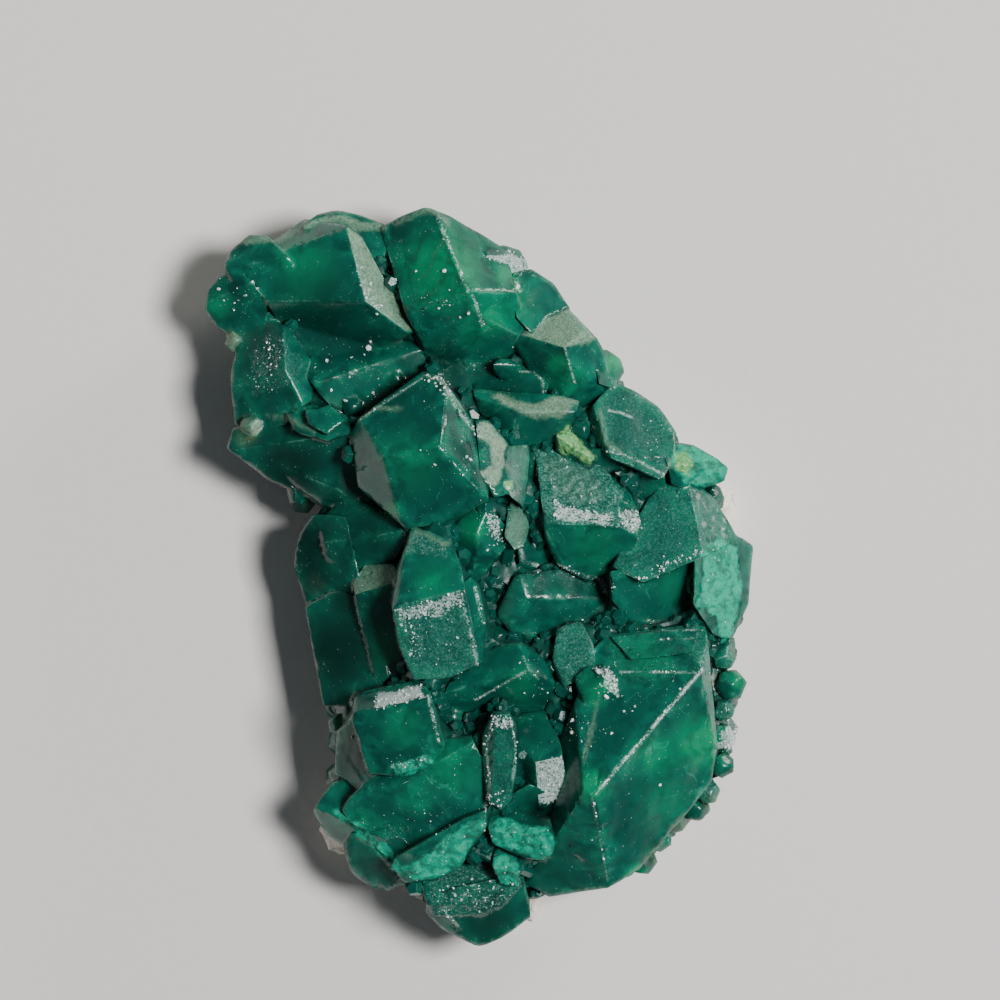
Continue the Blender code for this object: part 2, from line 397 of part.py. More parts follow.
# The pale matrix: its outline, which shows past the crystals on the east and at the two southern corners.
MATRIX_OUTLINE = [
    (-6.6, 12.6), (-3.4, 13.6), (0.6, 12.6), (3.0, 10.0), (4.6, 6.6), (7.4, 3.6), (9.9, 1.3),
    (10.65, 0.4),
    (10.6, -0.5), (9.4, -2.4), (7.6, -5.6), (6.6, -9.4), (3.4, -12.6), (0.2, -13.6), (-1.5, -15.1),
    (-2.2, -15.9),
    (-3.4, -15.6), (-6.0, -13.0), (-9.2, -11.6), (-10.4, -10.9), (-10.45, -10.0), (-8.4, -7.4),
    (-7.2, -3.0),
    (-7.0, 1.6), (-6.4, 5.4), (-8.2, 8.4), (-8.0, 11.0),
]

# The rows of small crystals that point out of the rim.
# Each row has its height, how far it passes the outline, the spacing and the widest radius.
RIM_SEED = 12
RIM_ROWS = ((2.5, 0.1, 1.7, 1.05), (3.6, 0.0, 2.3, 0.85))
RIM_NARROWEST = 0.5

# Small crystals that stand on the core, in the grooves and along the south-east edge: place, top and radius.
STANDING_SEED = 5
STANDING = [
    (0.7, 2.7, 6.6, 0.5), (-0.3, -1.5, 5.6, 0.7), (0.2, -3.5, 5.7, 0.55), (-1.0, -3.3, 5.9, 0.6),
    (0.8, -0.3, 5.5, 0.6),
    (4.7, -4.3, 5.6, 0.6), (5.6, -4.2, 5.4, 0.5), (1.3, -7.0, 6.1, 0.5), (0.9, -7.9, 5.9, 0.5),
    (-3.3, -6.9, 5.8, 0.6),
    (-3.7, -6.3, 6.0, 0.5), (-4.3, -12.5, 4.9, 0.6), (-3.7, -13.0, 5.1, 0.5), (-2.8, 8.9, 5.4, 0.6),
    (-0.8, 9.1, 5.3, 0.6),
    (0.3, 8.8, 5.2, 0.5), (-2.2, 13.4, 5.4, 0.5), (-1.9, 14.5, 5.2, 0.5), (-7.9, 12.5, 5.0, 0.7),
    (-6.3, 8.7, 5.4, 0.6),
    (-5.0, 8.0, 5.6, 0.5), (4.7, 4.7, 5.8, 0.6), (3.8, 5.0, 5.8, 0.5), (4.9, 5.0, 5.6, 0.6),
    (7.7, 1.7, 5.5, 0.6),
    (2.9, 8.9, 5.5, 0.5), (-5.2, 2.8, 5.5, 0.7), (-4.4, 1.3, 5.6, 0.5), (-5.3, -4.6, 5.6, 0.6),
    (-6.6, -4.5, 5.4, 0.6),
    (8.1, -5.3, 5.3, 0.6), (9.2, -5.0, 4.7, 0.6), (8.6, -6.4, 4.9, 0.65), (8.5, -7.7, 4.8, 0.75),
    (8.0, -8.9, 5.1, 0.55),
    (7.8, -10.0, 5.2, 0.65), (7.3, -11.1, 4.9, 0.6), (6.5, -12.1, 4.8, 0.6), (5.9, -12.7, 4.5, 0.65),
    (4.9, -13.2, 4.7, 0.65), (3.9, -13.7, 4.9, 0.6), (3.0, -14.4, 4.7, 0.7), (2.2, -14.6, 4.9, 0.6),
    (-9.4, 12.0, 4.3, 0.6), (-9.6, 8.1, 4.9, 0.6), (-8.2, 4.9, 3.9, 0.6), (-7.6, -4.9, 5.4, 0.6),
    (-9.0, -8.0, 4.2, 0.6),
]


def clear_scene():
    for thing in list(bpy.data.objects):
        bpy.data.objects.remove(thing)


def collection(name, helper=False):
    made = bpy.data.collections.new(name)
    bpy.context.scene.collection.children.link(made)
    made.hide_render = helper
    return made


def material(name, colour, roughness, coat):
    made = bpy.data.materials.new(name)
    made.use_nodes = True
    shader = made.node_tree.nodes["Principled BSDF"]
    shader.inputs["Base Color"].default_value = (*colour, 1.0)
    shader.inputs["Roughness"].default_value = roughness
    shader.inputs["Metallic"].default_value = 0.0
    shader.inputs["Coat Weight"].default_value = coat
    return made


def object_of(name, mesh, home, finish=None, helper=False):
    """A scene object made from a bmesh laid out in millimetres."""
    bmesh.ops.recalc_face_normals(mesh, faces=mesh.faces)
    bmesh.ops.scale(mesh, vec=(MM, MM, MM), verts=mesh.verts)
    data = bpy.data.meshes.new(name)
    mesh.to_mesh(data)
    mesh.free()
    made = bpy.data.objects.new(name, data)
    home.objects.link(made)
    if finish is not None:
        data.materials.append(finish)
    if helper:
        made.hide_render = True
        made.display_type = "WIRE"
    return made


def cut(mesh, point, normal):
    """Keeps what lies behind a plane and closes the cut with one flat face."""
    geometry = list(mesh.verts) + list(mesh.edges) + list(mesh.faces)
    bmesh.ops.bisect_plane(mesh, geom=geometry, plane_co=point, plane_no=normal, clear_outer=True, dist=1e-5)
    rim = [edge for edge in mesh.edges if len(edge.link_faces) == 1]
    if rim:
        bmesh.ops.holes_fill(mesh, edges=rim, sides=0)


def plane_of(points):
    """A point and the upward normal of the plane through three points."""
    first, second, third = (Vector(point) for point in points)
    normal = (second - first).cross(third - first).normalized()
    return first, normal if normal.z > 0 else -normal


def prism(outline, low, knee, high):
    """A crystal's body: upright walls down to the knee, then drawn in towards the middle of the specimen."""
    mesh = bmesh.new()
    for x, y in outline:
        mesh.verts.new((x, y, high))
        mesh.verts.new((x, y, knee))
        mesh.verts.new((x * ROOT_SHARE, y * ROOT_SHARE, low))
    hull = bmesh.ops.convex_hull(mesh, input=mesh.verts)
    bmesh.ops.delete(mesh, geom=list({*hull["geom_interior"], *hull["geom_unused"]}), context="VERTS")
    return mesh


def crystal(name, outline, faces, knee, home):
    """One of the main crystals: a prism whose crown is cut by its face planes."""
    mesh = prism(outline, ROOT, knee, THICKNESS + 1.0)
    for points in faces:
        cut(mesh, *plane_of(points))
    cut(mesh, Vector((0, 0, THICKNESS)), Vector((0, 0, 1)))
    bmesh.ops.dissolve_limit(mesh, angle_limit=math.radians(0.05), verts=mesh.verts, edges=mesh.edges)
    return object_of(name, mesh, home, helper=True)


def small_crystal(name, foot, axis, radius, length, roll, home):
    """A six-sided prism with the three sloping end faces of a rhombohedron."""
    mesh = bmesh.new()
    bmesh.ops.create_cone(
        mesh, cap_ends=True, segments=6, radius1=radius, radius2=radius * 0.94, depth=length
    )
    bmesh.ops.translate(mesh, verts=mesh.verts, vec=(0, 0, length / 2))
    end_slope = math.radians(40)
    for turn in range(3):
        angle = math.radians(120 * turn)
        aside = Vector((math.cos(angle), math.sin(angle), 0)) * math.sin(end_slope)
        cut(mesh, Vector((0, 0, length)), aside + Vector((0, 0, math.cos(end_slope))))
    turned = Vector(axis).to_track_quat("Z", "Y").to_matrix().to_4x4() @ Matrix.Rotation(roll, 4, "Z")
    bmesh.ops.transform(mesh, matrix=Matrix.Translation(foot) @ turned, verts=mesh.verts)
    return object_of(name, mesh, home, helper=True)


def along_outline(points, spacing):
    """Evenly spaced points on the closed outline with the outward direction at each."""
    closed = [Vector(point) for point in points]
    ends = list(zip(closed, closed[1:] + closed[:1]))
    total = sum((b - a).length for a, b in ends)
    count = round(total / spacing)
    step = total / count
    travelled, target = 0.0, 0.0
    for a, b in ends:
        length = (b - a).length
        direction = (b - a) / length
        while target < travelled + length - 1e-6:
            yield a + direction * (target - travelled), Vector((-direction.y, direction.x))
            target += step
        travelled += length


def rim_crystals(home):
    """Small crystals that point out of the rim, in rows, so that the sides are crystal faces too."""
    chance = random.Random(RIM_SEED)
    for row, (height, reach, spacing, widest) in enumerate(RIM_ROWS):
        for number, (place, out) in enumerate(along_outline(OUTLINE, spacing)):
            radius = chance.uniform(RIM_NARROWEST, widest)
            swing = chance.uniform(-0.4, 0.4)
            rise = chance.uniform(-0.15, 0.4)
            axis = Vector((out.x - swing * out.y, out.y + swing * out.x, rise)).normalized()
            length = 2.2 + radius
            tip = Vector((place.x, place.y, height)) + Vector((out.x, out.y, 0)) * reach
            small_crystal(f"rim_{row}_{number}", tip - axis * length, axis, radius, length,
                          chance.uniform(0, math.pi), home)


def standing_crystals(home):
    """Small crystals that stand on the core and fill the grooves between the main ones."""
    chance = random.Random(STANDING_SEED)
    for number, (x, y, top, radius) in enumerate(STANDING):
        lean = Vector((x / WIDTH, y / LENGTH, 0)) * 0.7
        axis = (lean + Vector((chance.uniform(-0.2, 0.2), chance.uniform(-0.2, 0.2), 1.0))).normalized()
        foot = Vector((x, y, top)) - axis * (top - ROOT) / axis.z
        roll = chance.uniform(0, math.pi)
        small_crystal(f"standing_{number}", foot, axis, radius, top - ROOT + 0.2, roll, home)


def slab(outline, levels):
    """A closed body whose rings are the outline drawn in: (height, scale), from the bottom up."""
    mesh = bmesh.new()
    loops = []
    for height, scale in levels:
        ring = [mesh.verts.new((x * scale, y * scale, height)) for x, y in outline]
        loops.append([mesh.edges.new(pair) for pair in zip(ring, ring[1:] + ring[:1])])
    for lower, upper in zip(loops, loops[1:]):
        bmesh.ops.bridge_loops(mesh, edges=lower + upper)
    bmesh.ops.holes_fill(mesh, edges=loops[0] + loops[-1], sides=0)
    bmesh.ops.triangulate(mesh, faces=[face for face in mesh.faces if len(face.verts) > 4])
    return mesh


def core(home, finish):
    """The massive dioptase that every crystal is rooted in."""
    return object_of("dioptase_crystals", slab(OUTLINE, CORE_LEVELS), home, finish)


def matrix_body(name, home, finish=None, grow=0.0, helper=False):
    """The calcite: a broken slab with a flat underside, uneven sides and a hummocky top."""
    chance = random.Random(3)
    mesh = slab(
        MATRIX_OUTLINE,
        ((0.0, 0.86), (0.55, 0.96), (1.25, 1.0), (1.9, 0.95), (MATRIX_TOP, 0.8)),
    )
    for vert in mesh.verts:
        if 0.0 < vert.co.z:
            aside = Vector((chance.uniform(-0.22, 0.22), chance.uniform(-0.22, 0.22), 0))
            vert.co += aside + Vector((0, 0, chance.uniform(-0.18, 0.18)))
    bmesh.ops.triangulate(mesh, faces=mesh.faces)
    bmesh.ops.recalc_face_normals(mesh, faces=mesh.faces)
    if grow:
        mesh.normal_update()
        offsets = [vert.normal * grow for vert in mesh.verts]
        for vert, offset in zip(mesh.verts, offsets):
            vert.co += offset
    return object_of(name, mesh, home, finish, helper)


def join(body, operation, others=None, other=None):
    made = body.modifiers.new(operation.lower(), "BOOLEAN")
    made.operation = operation
    made.solver = "EXACT"
    if others is not None:
        made.operand_type = "COLLECTION"
        made.collection = others
    else:
        made.object = other


def main():
    clear_scene()
    specimen = collection("dioptase_on_matrix")
    growth = collection("crystal_growth", helper=True)
    cutters = collection("cutters", helper=True)
    green = material("dioptase", (0.004, 0.10, 0.065), 0.22, 0.3)
    cream = material("calcite", (0.72, 0.64, 0.52), 0.7, 0.0)
    chance = random.Random(KNEE_SEED)
    for name, (outline, faces) in CRYSTALS.items():
        crystal(name, outline, faces, chance.uniform(*KNEE), growth)
    rim_crystals(growth)
    standing_crystals(growth)
    cluster = core(specimen, green)
    matrix_body("calcite_matrix", specimen, cream)
    hollow = matrix_body("matrix_socket", cutters, grow=MATRIX_GAP, helper=True)
    join(cluster, "UNION", others=growth)
    join(cluster, "DIFFERENCE", other=hollow)


main()
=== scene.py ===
"""Dioptase crystals grown together on a slab of calcite: the finished specimen on a pale table.

All places below are millimetres in the specimen's own frame, seen from the crystal side.
"""

import math
import random

import bmesh
import bpy
import numpy as np
from mathutils import Matrix, Vector, noise
from mathutils.bvhtree import BVHTree
from mathutils.kdtree import KDTree


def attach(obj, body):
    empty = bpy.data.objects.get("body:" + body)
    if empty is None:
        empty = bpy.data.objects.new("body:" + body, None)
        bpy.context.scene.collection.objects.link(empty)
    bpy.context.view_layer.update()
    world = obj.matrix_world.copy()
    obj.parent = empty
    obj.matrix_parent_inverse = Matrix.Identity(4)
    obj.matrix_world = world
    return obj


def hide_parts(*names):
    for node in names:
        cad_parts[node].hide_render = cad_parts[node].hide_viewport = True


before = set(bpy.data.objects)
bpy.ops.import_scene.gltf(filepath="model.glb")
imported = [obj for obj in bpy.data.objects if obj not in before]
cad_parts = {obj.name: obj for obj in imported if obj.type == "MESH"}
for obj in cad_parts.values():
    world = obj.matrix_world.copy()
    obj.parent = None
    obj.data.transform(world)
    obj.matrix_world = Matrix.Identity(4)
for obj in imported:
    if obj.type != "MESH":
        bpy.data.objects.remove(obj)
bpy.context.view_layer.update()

MM = 0.001

# The view: straight down on the crystals, with the specimen's long axis turned in the frame.
FRAME_WIDTH = 43.92
FRAME_CENTRE = (0.41, 2.46)
FRAME_TURN = -13.0
FOCUS_HEIGHT = 4.0
LENS_DISTANCE = 350.0

# The lamps: bearing clockwise from the picture's top and height, both in degrees, then distance and size in
# metres, watts and colour.
LAMPS = {
    "front": (82, 62, 0.6, 0.15, 4.7, (1.0, 0.98, 0.96)),
    "upper": (48, 16, 0.45, 0.11, 0.8, (1.0, 0.95, 0.86)),
}

# The longest edges of the refined mesh: on plain faces, crusts and ridges, down the sides, and at the back.
SEEN_EDGE = 0.29
CRUST_EDGE = 0.17
RIDGE_EDGE = 0.1
SIDE_EDGE = 0.5
BACK_EDGE = 1.0
CALCITE_EDGE = 0.32
MOST_HALVINGS = 9

# Below these heights the mesh is only as fine as at the back and down the sides.
BACK_HEIGHT = 1.6
SIDE_HEIGHT = 3.2

# Edges sharper than this are worn: how far they are drawn in, and how deep they are chipped and rippled.
WORN_ANGLE = math.radians(22)
WEAR = 0.16
CHIP_DEPTH = 0.16
CHIP_RIPPLE = 0.05

# The relief of the faces: the waves on all of them, the ripple of the frosted ones, and the lumps of the
# crusts, each with its height and how often it comes.
WAVE_HEIGHT = 0.04
FROST_RIPPLE = 0.03
CRUST_THICKNESS = 0.03
CRUST_LUMPS = ((0.12, 1.7), (0.1, 3.6), (0.06, 7.5))

# The grooves that small crystals fill: half their width, how deep the least of them is, and how far below
# the large crystals' faces the filling stops. Elsewhere the filling is sunk by the last value.
GROOVE_REACH = 0.9
GROOVE_LEAST = 0.9
GROOVE_DEPTH = 0.45
SUNK = 0.35

# The crystals that stick out of the filling: how many, their least and greatest radius and their bevel.
GROOVE_CRYSTALS = 170
GROOVE_RADII = (0.16, 0.46)
GROOVE_BEVEL = 0.018

# The filling and the crystals with it keep above this height, and stay this far inside the rim.
FILL_FLOOR = 3.0
RIM_MARGIN = 0.6

# Rays that look for the highest surface start here and go down.
SKY = 20.0
DOWN = Vector((0, 0, -1))

# Outlines that several finishes share.
WEST_TRIANGLE = [(-9.2, 9.3), (-8.9, 11.2), (-7.6, 11.9), (-6.5, 10.2), (-7.2, 9.5)]
NORTH_NUB = [(2.3, 12.9), (3.3, 13.0), (3.85, 12.6), (3.5, 12.1), (2.6, 12.4)]
PRISM_FACE = [(-5.1, -1.1), (-2.1, -0.95), (-2.1, -4.4), (-5.0, -4.2)]
GREAT_TOP = [(2.6, -6.7), (3.9, -4.8), (5.5, -4.4), (7.9, -5.0), (7.4, -6.7)]
LITTLE_SQUARE = [(-0.5, -8.9), (0.5, -9.0), (0.45, -9.6), (-0.1, -10.8), (-0.6, -10.5), (-0.8, -10.0)]
SOUTH_CRUST = [(-6.2, -13.6), (-5.0, -13.1), (-3.0, -13.4), (-2.6, -14.3), (-4.2, -14.8), (-6.2, -14.6)]

# Faces painted tan or olive, partly a film and partly painted reflection of the light: strength and outline.
TAN_FILM_AND_REFLECTION = {
    "wedge": (0.85, [(-3.5, 15.6), (-2.9, 15.1), (-2.55, 13.9), (-2.2, 12.8), (-1.5, 11.1), (-2.5, 11.05),
        (-3.1, 12.0), (-3.25, 13.0), (-3.4, 14.0)]),
    "top_strip": (0.6, [(-3.6, 15.8), (-1.9, 15.5), (-1.9, 15.25), (-3.3, 15.4)]),
    "shoulder": (0.9, [(2.7, 9.05), (3.2, 9.4), (4.1, 9.7), (5.15, 9.95), (5.45, 9.4), (6.1, 8.4),
        (5.0, 8.3), (4.3, 8.4), (3.6, 8.6)]),
    "crescent": (0.95, [(0.4, 7.4), (1.0, 7.1), (1.5, 6.5), (2.2, 5.9), (3.0, 5.5), (3.9, 5.3), (4.3, 5.6),
        (4.75, 5.85), (4.4, 6.1), (3.8, 6.35), (3.0, 6.2), (2.0, 6.5), (1.5, 6.9)]),
    "silver_blade": (1.0, [(0.2, 5.9), (0.7, 5.9), (1.0, 5.4), (1.3, 4.8), (1.1, 4.3), (0.8, 3.7),
        (0.6, 3.2), (0.25, 3.1), (-0.1, 3.7), (0.45, 4.1), (0.5, 4.9)]),
    "upper_blade": (0.12, [(1.4, 4.7), (2.1, 4.5), (2.0, 4.0), (1.6, 3.6), (1.5, 2.3), (1.35, 2.1),
        (1.0, 2.6), (0.8, 3.3)]),
    "lower_blade": (0.35, [(0.9, 2.2), (1.35, 1.9), (1.3, 1.1), (0.8, 0.2), (0.3, 0.8), (0.6, 1.9)]),
    "west_ledge": (0.6, [(-5.0, 6.95), (-4.3, 6.6), (-4.45, 6.4), (-5.1, 6.8)]),
    "west_spot": (0.6, [(-3.6, 5.9), (-3.0, 5.9), (-3.0, 5.4), (-3.6, 5.4)]),
    "north_west_patch": (0.7, [(-10.1, 7.7), (-9.7, 8.3), (-9.1, 8.4), (-9.0, 7.8), (-9.6, 7.6)]),
    "north_west_bit": (0.6, [(-9.8, 12.3), (-9.2, 12.4), (-9.1, 11.6), (-9.5, 11.5)]),
    "west_facet": (0.65, [(-6.5, 0.0), (-6.2, 0.9), (-5.0, 0.9), (-5.0, 0.1), (-5.8, -0.1)]),
    "thin_ridge": (0.8, [(0.6, -3.6), (1.2, -3.25), (1.8, -3.0), (1.8, -3.2), (1.2, -3.5)]),
    "sparkling_block": (0.3, [(2.6, 3.9), (3.6, 3.6), (4.7, 2.8), (4.9, 1.6), (3.6, 1.4), (2.7, 2.4)]),
    "east_olive": (0.6, [(7.4, -7.6), (7.9, -7.5), (8.0, -7.0), (7.5, -7.1)]),
}

# Tan edges: half width, strength and line.
TAN_LINES = [
    (0.16, 0.8, [(-7.9, 16.0), (-6.4, 15.8), (-5.4, 16.0), (-4.5, 16.2), (-3.6, 16.1), (-2.8, 15.6),
        (-1.8, 15.2)]),
    (0.12, 0.6, [(-1.3, 15.2), (-0.6, 15.4), (0.1, 15.5), (0.5, 15.3), (0.9, 14.8)]),
    (0.1, 0.5, [(-5.0, 7.2), (-4.0, 7.6), (-3.0, 7.3)]),
    (0.1, 0.6, [(-1.6, 8.5), (-0.9, 8.1), (-0.2, 6.6)]),
    (0.1, 0.5, [(6.1, 3.2), (5.5, 3.8), (5.5, 5.2)]),
    (0.09, 0.5, [(7.0, 2.4), (7.7, 1.9), (8.2, 2.6)]),
    (0.12, 0.6, [(-4.2, 1.2), (-3.4, 2.0), (-2.4, 1.1)]),
    (0.08, 0.5, [(2.7, -6.8), (1.4, -9.4)]),
    (0.1, 0.5, [(-8.7, 8.4), (-7.8, 8.0), (-6.8, 7.2)]),
]

# Faces painted grey to grey-green, partly a bloom and partly painted reflection of the light: strength and
# outline.
GREY_BLOOM_AND_REFLECTION = {
    "sparkling_block": (0.8, [(2.5, 4.3), (3.6, 3.7), (4.7, 2.9), (5.2, 2.2), (5.9, 1.7), (4.9, 0.35),
        (2.6, 1.1), (2.65, 3.6)]),
    "east_plate": (0.22, [(5.5, 5.3), (5.4, 3.5), (6.2, 3.1), (7.0, 2.5), (7.6, 1.9), (8.1, 2.3),
        (8.5, 3.6), (8.3, 4.3), (7.7, 5.3), (7.0, 5.9), (6.0, 5.8)]),
    "grey_plate": (0.32, [(4.7, -1.5), (5.6, -2.4), (7.0, -1.9), (8.4, -1.65), (9.9, -1.3), (9.9, 0.2),
        (9.4, 0.6), (8.9, 1.2), (8.1, 1.5), (7.4, 1.3), (6.6, 0.7), (6.2, -0.6), (5.5, -1.0)]),
    "prism_band": (0.75, [(-4.1, 1.1), (-3.7, 1.9), (-3.4, 2.0), (-2.5, 1.0), (-2.1, 1.2), (-2.3, 0.6)]),
    "prism_face": (0.4, PRISM_FACE),
    "slender_prism": (0.25, [(-2.0, -6.6), (-1.3, -6.8), (-1.15, -7.3), (-1.3, -8.3), (-1.7, -9.3),
        (-2.3, -10.6), (-3.3, -10.6), (-2.8, -9.5), (-2.7, -7.7), (-2.1, -7.0)]),
    "little_square": (0.85, LITTLE_SQUARE),
    "centre_facet": (0.55, [(1.5, -3.9), (2.8, -3.7), (2.9, -4.4), (2.2, -5.6), (1.1, -6.1), (1.1, -5.5)]),
    "great_top": (0.12, GREAT_TOP),
    "great_band": (0.4, [(7.0, -5.1), (7.7, -5.1), (7.6, -6.8), (7.0, -6.8)]),
    "east_stripes": (0.5, [(7.3, -5.9), (7.9, -5.9), (8.0, -9.5), (7.4, -9.5)]),
    "east_triangle": (0.8, [(8.4, -6.9), (8.9, -6.5), (8.7, -6.0), (8.4, -6.2)]),
    "south_east_white": (0.9, [(6.7, -11.2), (7.1, -11.3), (6.9, -11.7), (6.7, -11.6)]),
    "south_east_grey": (0.6, [(6.0, -12.3), (6.7, -12.4), (6.75, -11.6), (6.1, -11.5)]),
    "roof_edge": (0.6, [(-1.9, 8.3), (-1.2, 8.6), (-0.6, 8.0), (-0.6, 7.2), (-1.2, 7.4)]),
    "roof_side": (0.6, [(-0.5, 8.1), (0.0, 8.0), (0.2, 7.4), (-0.3, 7.3)]),
    "small_a": (0.7, [(-1.95, 2.9), (-1.4, 2.95), (-1.3, 2.4), (-1.9, 2.3)]),
    "small_b": (0.7, [(-2.85, 2.0), (-2.0, 1.95), (-1.9, 1.3), (-2.7, 1.25)]),
    "north_nub": (0.6, NORTH_NUB),
    "west_triangle": (0.3, WEST_TRIANGLE),
    "south_crust": (0.4, SOUTH_CRUST),
}

# Faces and bands painted white, partly sugary frost and partly painted reflection of the light: strength and
# outline.
SUGAR_FROST_AND_REFLECTION = {
    "west_block_top": (0.95, [(-6.9, -4.6), (-4.7, -4.55), (-4.7, -5.2), (-6.9, -5.25)]),
    "little_square": (0.7, LITTLE_SQUARE),
    "slender_tip": (0.6, [(-2.05, -6.5), (-1.25, -6.75), (-1.15, -7.2), (-1.5, -7.3), (-2.05, -7.1)]),
    "slender_foot": (0.6, [(-3.0, -9.8), (-2.2, -9.9), (-2.4, -10.6), (-3.3, -10.6)]),
    "prism_upper": (0.6, [(-5.1, -1.15), (-2.1, -0.95), (-2.1, -1.6), (-3.4, -1.9), (-5.0, -1.7)]),
    "prism_left": (0.3, [(-5.1, -1.6), (-4.3, -1.7), (-4.2, -3.4), (-4.9, -3.6)]),
    "block_west": (0.7, [(2.55, 1.1), (2.6, 2.0), (3.1, 1.6), (4.2, 1.1), (5.0, 0.8), (5.0, 0.35)]),
    "block_foot": (0.6, [(5.2, 0.9), (6.1, 0.8), (6.3, -0.1), (5.4, -0.3)]),
    "north_nub": (0.7, NORTH_NUB),
    "roof_edge": (0.55, [(-1.9, 8.3), (-1.2, 8.6), (-0.6, 8.0), (-0.5, 7.4), (-1.0, 7.3), (-1.3, 8.0)]),
    "south_crust": (0.3, SOUTH_CRUST),
    "west_triangle": (0.35, [(-9.0, 9.6), (-8.7, 11.2), (-7.8, 11.8), (-7.2, 10.6), (-8.0, 9.8)]),
    "east_fringe": (0.7, [(7.5, -9.5), (8.5, -9.6), (8.3, -10.5), (7.6, -10.6)]),
    "bead_frost": (0.6, [(2.6, -5.5), (3.6, -5.6), (3.6, -6.9), (3.1, -6.9), (3.0, -6.1)]),
    "wedge_left": (0.5, [(-3.45, 13.9), (-3.2, 13.9), (-2.6, 11.4), (-2.9, 11.3), (-3.4, 12.2)]),
    "plate_edge": (0.6, [(5.2, -2.1), (7.0, -1.75), (8.5, -1.5), (8.5, -1.8), (7.0, -2.05), (5.4, -2.4)]),
    "centre_beads": (0.55, [(-0.4, 2.0), (0.2, 2.0), (0.2, 0.6), (-0.3, 0.5)]),
}

# The turquoise crusts.
CRUSTS = [
    [(8.0, 2.3), (8.6, 3.0), (9.3, 2.8), (10.1, 2.1), (10.5, 1.6), (10.2, 1.05), (9.2, 1.0), (8.4, 1.4)],
    [(8.4, -1.8), (9.4, -1.3), (10.0, -2.0), (9.8, -3.8), (9.4, -4.8), (8.9, -5.6), (8.5, -5.8),
        (8.5, -4.6), (7.7, -4.0), (8.1, -3.2), (8.4, -2.7)],
    [(-2.8, -11.0), (-1.5, -11.7), (-0.7, -11.9), (-0.6, -12.6), (-0.9, -13.2), (-1.5, -13.2),
        (-2.3, -12.6), (-3.3, -12.1), (-3.2, -11.4)],
    [(-3.5, -12.7), (-2.8, -12.6), (-2.4, -13.2), (-2.6, -14.1), (-3.4, -13.9)],
    [(-3.5, -10.9), (-4.4, -11.0), (-5.5, -11.5), (-6.6, -12.1), (-7.5, -12.4), (-7.2, -12.9),
        (-6.0, -13.0), (-5.0, -12.8), (-4.4, -12.1), (-3.5, -11.4)],
    [(-6.73, -7.75), (-5.02, -7.6), (-4.99, -8.06), (-6.43, -8.4), (-6.75, -8.24)],
    [(-9.9, -9.1), (-9.6, -9.1), (-8.5, -10.2), (-7.7, -11.4), (-7.4, -12.3), (-7.7, -12.4), (-8.1, -11.6),
        (-8.9, -10.5)],
]

# Pale yellow-green crusts.
PALE_CRUSTS = [
    [(3.5, 4.7), (4.0, 4.9), (4.4, 4.1), (4.9, 3.3), (4.6, 3.0), (4.0, 3.6), (3.4, 3.9)],
    [(8.2, 2.0), (8.4, 2.7), (8.9, 2.8), (9.0, 2.0), (8.6, 1.6)],
    [(3.1, 11.45), (3.4, 11.45), (3.4, 11.2), (3.1, 11.2)],
    [(0.75, 3.15), (1.1, 3.15), (1.1, 2.85), (0.8, 2.85)],
]

# Painted glow, where light comes back out of the crystals and lifts shaded places: centre, reach and
# strength.
GLOWS = [
    (-5.6, 14.2, 1.6, 0.55), (0.1, 12.8, 2.0, 1.0), (1.6, 10.4, 1.2, 0.6), (1.0, 9.9, 0.9, 0.5),
    (4.2, 7.6, 0.55, 1.0), (4.4, 6.9, 0.9, 0.5), (6.7, 7.3, 0.55, 1.0), (-9.8, 13.5, 0.7, 0.7),
    (2.9, 12.0, 0.7, 0.7), (-4.25, 3.15, 0.5, 0.8), (-1.1, 1.5, 0.8, 0.9), (6.5, -9.8, 1.4, 0.8),
    (1.5, -10.5, 0.9, 0.9), (2.5, -14.8, 0.5, 1.0), (2.6, -6.5, 0.8, 0.9), (4.6, -9.9, 1.3, 0.5),
    (3.9, -0.4, 1.2, 0.5), (-3.2, -0.2, 0.9, 0.6), (-5.9, -6.2, 1.1, 0.5), (-8.6, -5.5, 0.8, 0.4),
    (-4.3, -8.4, 1.4, 0.5), (8.8, -7.6, 0.5, 0.8), (-3.0, 5.0, 1.6, 0.35), (-8.7, -10.0, 0.9, 0.4),
    (3.0, 10.6, 1.1, 0.4), (7.0, -3.0, 0.9, 0.5), (-6.0, -9.4, 1.0, 0.3), (4.5, -12.0, 1.5, 0.3),
    (5.0, -5.6, 1.4, 0.4), (-0.6, -5.6, 0.9, 0.5), (-5.9, -2.6, 1.0, 0.6),
]

# Places painted darker: painted shade on faces turned from the light and in hollows, partly the crystals' own
# darker colour: centre, reach and strength.
DARK_AND_SHADE_SPOTS = [
    (-8.3, 2.4, 1.9, 0.8), (-8.2, -2.4, 2.2, 0.9), (-8.2, 5.8, 2.2, 0.9), (-5.4, 12.2, 2.2, 0.6),
    (-6.5, 13.0, 1.4, 0.4), (-5.6, 2.4, 1.5, 0.6), (-4.4, -15.4, 1.6, 0.7),
    (-0.9, -11.2, 1.0, 1.0), (-4.0, -12.4, 0.9, 1.0), (-0.5, 8.9, 1.2, 0.8), (1.8, 7.2, 1.0, 0.6),
    (-8.9, -7.2, 1.2, 0.5), (-7.2, -0.3, 1.0, 0.7), (-1.0, -3.2, 1.0, 0.7), (0.5, -6.8, 0.8, 0.7),
    (2.0, 1.6, 0.7, 0.6), (-6.4, 4.2, 1.0, 0.6), (-3.9, 10.4, 1.2, 0.5), (0.2, -0.6, 0.8, 0.6),
]

